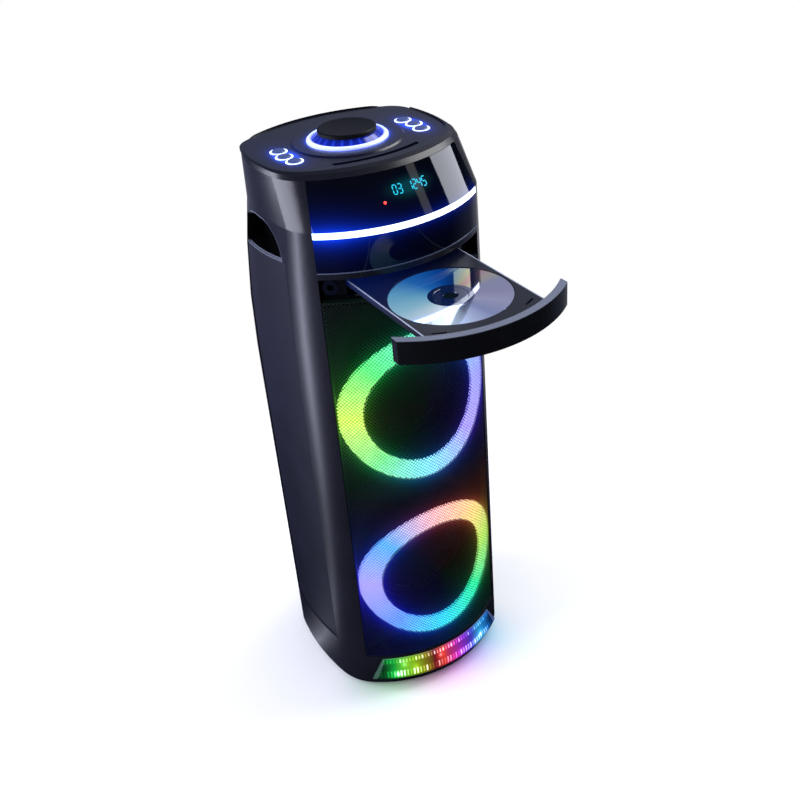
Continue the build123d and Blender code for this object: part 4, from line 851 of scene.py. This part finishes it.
def display_figures():
    """Track number and running time in plain seven-segment figures."""
    half_wide, half_tall, stroke, pitch = 1.9 * MM, 3.9 * MM, 1.0 * MM, 5.6 * MM
    thickness = 0.3 * MM
    text = "03 1245"
    look = lit_plastic("cyan_display_segments", "#06363c", "#19c3e6", 1.3)
    bm = bmesh.new()
    for k, figure in enumerate(text):
        x = DISPLAY_X + (k - (len(text) - 1) / 2) * pitch
        for name in SEGMENTS.get(figure, ""):
            across, up, flat = SEGMENT_PLACES[name]
            wide, tall = (half_wide * 1.5, stroke) if flat else (stroke, half_tall * 0.86)
            place = on_panel(x + across * half_wide, DISPLAY_Z + up * half_tall)
            bmesh.ops.create_cube(bm, size=1.0,
                                  matrix=place @ Matrix.Diagonal((wide, thickness, tall, 1)))
    piece("display_figures", bm, "cabinet", look)


def status_lamp():
    """The small red lamp left of the figures, a flattened dome."""
    across, height, radius, flatness = -22.0 * MM, 629.5 * MM, 1.5 * MM, 0.35
    look = lit_plastic("red_lamp_lens", "#5a0a0a", "#ff3a30", 3.0)
    place = on_panel(across, height) @ Matrix.Diagonal((1, flatness, 1, 1))
    bm = bmesh.new()
    bmesh.ops.create_uvsphere(bm, u_segments=20, v_segments=10, radius=radius, matrix=place)
    piece("status_lamp", bm, "cabinet", look)


# Floor, studio and lamps

# What gloss sees round the speaker, by angle anticlockwise from its right-hand side: pale
# cards at the left and behind, dark cloth in front, on the floor and then above it.
FLOOR_CARDS = [(0.0, "#50566a"), (0.08, "#c8c8d0"), (0.16, "#f4eef2"), (0.24, "#8e90a8"),
               (0.32, "#3c3a62"), (0.38, "#3e4268"), (0.47, "#d8dcf4"), (0.53, "#9094b0"),
               (0.61, "#3c4058"), (0.7, "#14161e"), (0.92, "#14161e"), (1.0, "#50566a")]
SKY_CARDS = [(0.0, "#181a22"), (0.08, "#a0a2b0"), (0.16, "#9ea4c0"), (0.24, "#6a78ac"),
             (0.32, "#363e68"), (0.42, "#5c648c"), (0.5, "#787ea0"), (0.6, "#30344a"),
             (0.7, "#0c0e14"), (1.0, "#0c0e14")]
# The bright card at the left that draws the pillar's long highlight: its angle, and its
# strength with the share of a turn over which it fades
BRIGHT_CARD_TURN = 0.47
BRIGHT_CARD = (9.0, 0.024)

# The foot lens's coloured light, painted on the floor, from its left end to its right
SPILL = [(0.0, "#a8d0b4"), (0.2, "#c4ecc4"), (0.4, "#f0c8dc"), (0.55, "#f4b4f4"),
         (0.7, "#ccb8fa"), (0.85, "#a4dcf8"), (1.0, "#b4def8")]


def floor_with_painted_spill(tree, x, y):
    """The floor's white, with the foot lens's coloured light painted on it in front of the lens.
    """
    # Radians to either side: where the painted spill starts to fade and ends, and the hues'
    # spread
    full, ended, spread = 0.5, 1.1, 0.8
    swing = bow_turn(tree, x, y)
    ahead = past(tree, reach_from(tree, (x, 0.0), (y, BOW_CENTRE_Y)), BOW_RADIUS)
    sideways = span(tree, sums(tree, "ABSOLUTE", swing), full, ended, 1.0, 0.0)
    spill = sums(tree, "MULTIPLY", sideways, fading(tree, ahead, SPILL_GLOW))
    hues = ramp(tree, span(tree, swing, -spread, spread, 0.0, 1.0, False), SPILL)
    return blend(tree, spill, "#f4f4f4", hues)


def white_floor():
    """Matt white floor that keeps the shadow near the speaker and runs out to plain white."""
    # Metres from the middle: where the floor starts to turn plain white and where it is,
    # and where the cards that gloss sees are still dark and where they are at full strength
    white_starts, white_full, cards_dark, cards_full = 0.3, 0.75, 0.35, 1.05
    made, tree, shader = material("white_floor", Roughness=0.9, Specular_IOR_Level=0.1)
    x, y = places(tree)[:2]
    # The lens's coloured light is painted into the floor's colour
    paint(tree, shader, floor_with_painted_spill(tree, x, y))
    seen = add(tree, "LightPath").outputs
    ray = sums(tree, "MAXIMUM", seen["Is Camera Ray"], seen["Is Transmission Ray"])
    around = reach_from(tree, (x, 0.0), (y, 0.0))
    turn = whole_turn(tree, x, y)
    bright = sums(tree, "ADD", fading(tree, off_from(tree, turn, BRIGHT_CARD_TURN), BRIGHT_CARD),
                  1.0)
    level = sums(tree, "MULTIPLY", bright,
                 span(tree, around, cards_dark, cards_full, 0.12, 1.0))
    cards = add(tree, "Emission", links={
        "Color": ramp(tree, turn, FLOOR_CARDS, "EASE"), "Strength": level}).outputs[0]
    white = add(tree, "Emission", {"Color": (1, 1, 1, 1), "Strength": 1.0}).outputs[0]
    far = sums(tree, "MULTIPLY", span(tree, around, white_starts, white_full), ray)
    lit = add(tree, "MixShader", links={0: far, 1: shader.outputs[0], 2: white}).outputs[0]
    mixed = add(tree, "MixShader", links={0: seen["Is Glossy Ray"], 1: lit, 2: cards})
    tree.links.new(mixed.outputs[0], tree.nodes["Material Output"].inputs["Surface"])
    return made


def stage():
    """The floor that the speaker stands on, 6 m across."""
    bm = bmesh.new()
    bmesh.ops.create_grid(bm, x_segments=1, y_segments=1, size=3.0)
    floor = scene_object("floor", bm, white_floor())


def studio():
    """White to the camera and through clear things, cards to gloss, even grey to the rest."""
    world = bpy.data.worlds.new("studio")
    bpy.context.scene.world = world
    world.use_nodes = True
    tree = world.node_tree
    background = tree.nodes["Background"].inputs
    seen = add(tree, "LightPath").outputs
    ray = sums(tree, "MAXIMUM", seen["Is Camera Ray"], seen["Is Transmission Ray"])
    way = add(tree, "SeparateXYZ", links={
        "Vector": add(tree, "TexCoord").outputs["Generated"]}).outputs
    # Sines of the elevation looked at: between the first two the cards give way to a dark
    # ceiling, between the others the light in them rises from a half to a little over one
    cards_end, ceiling, half_lit, full_lit = 0.4, 0.85, 0.3, 0.42
    round_about = ramp(tree, whole_turn(tree, way["X"], way["Y"]), SKY_CARDS, "EASE")
    cards = blend(tree, span(tree, way["Z"], cards_end, ceiling), round_about, "#3a3f52")
    colour = blend(tree, seen["Is Glossy Ray"], "#dcdee6", cards)
    tree.links.new(blend(tree, ray, colour, "#ffffff"), background["Color"])
    dimmed = sums(tree, "MULTIPLY", seen["Is Glossy Ray"],
                  span(tree, way["Z"], half_lit, full_lit, 0.5, -0.1))
    tree.links.new(sums(tree, "SUBTRACT", 1.0, dimmed), background["Strength"])


def lamps():
    """Soft studio light: a box above, one at each side, and a narrow one in front."""
    # Name, place, point aimed at, width and height (in metres), power (in watts), colour
    area_lamp("top_box", (1.4, 0.1, 2.0), (0, 0, 0.6), (1.2, 1.0), 19)
    area_lamp("left_box", (-1.4, 0.45, 0.85), (-0.1, 0.0, 0.62), (1.6, 0.9), 34, "#e8eaff")
    area_lamp("right_box", (1.17, -0.3, 1.07), (0.07, -0.1, 0.63), (0.5, 0.7), 8, "#eef2ff")
    area_lamp("front_strip", (0.92, -0.93, 1.51), (0.02, -0.12, 0.63), (0.17, 0.6), 0.35)


place_camera()
dress_all()
perforated_grille()
prism_lens()
display_figures()
status_lamp()
stage()
studio()
lamps()
bpy.context.scene.view_settings.view_transform = "Standard"
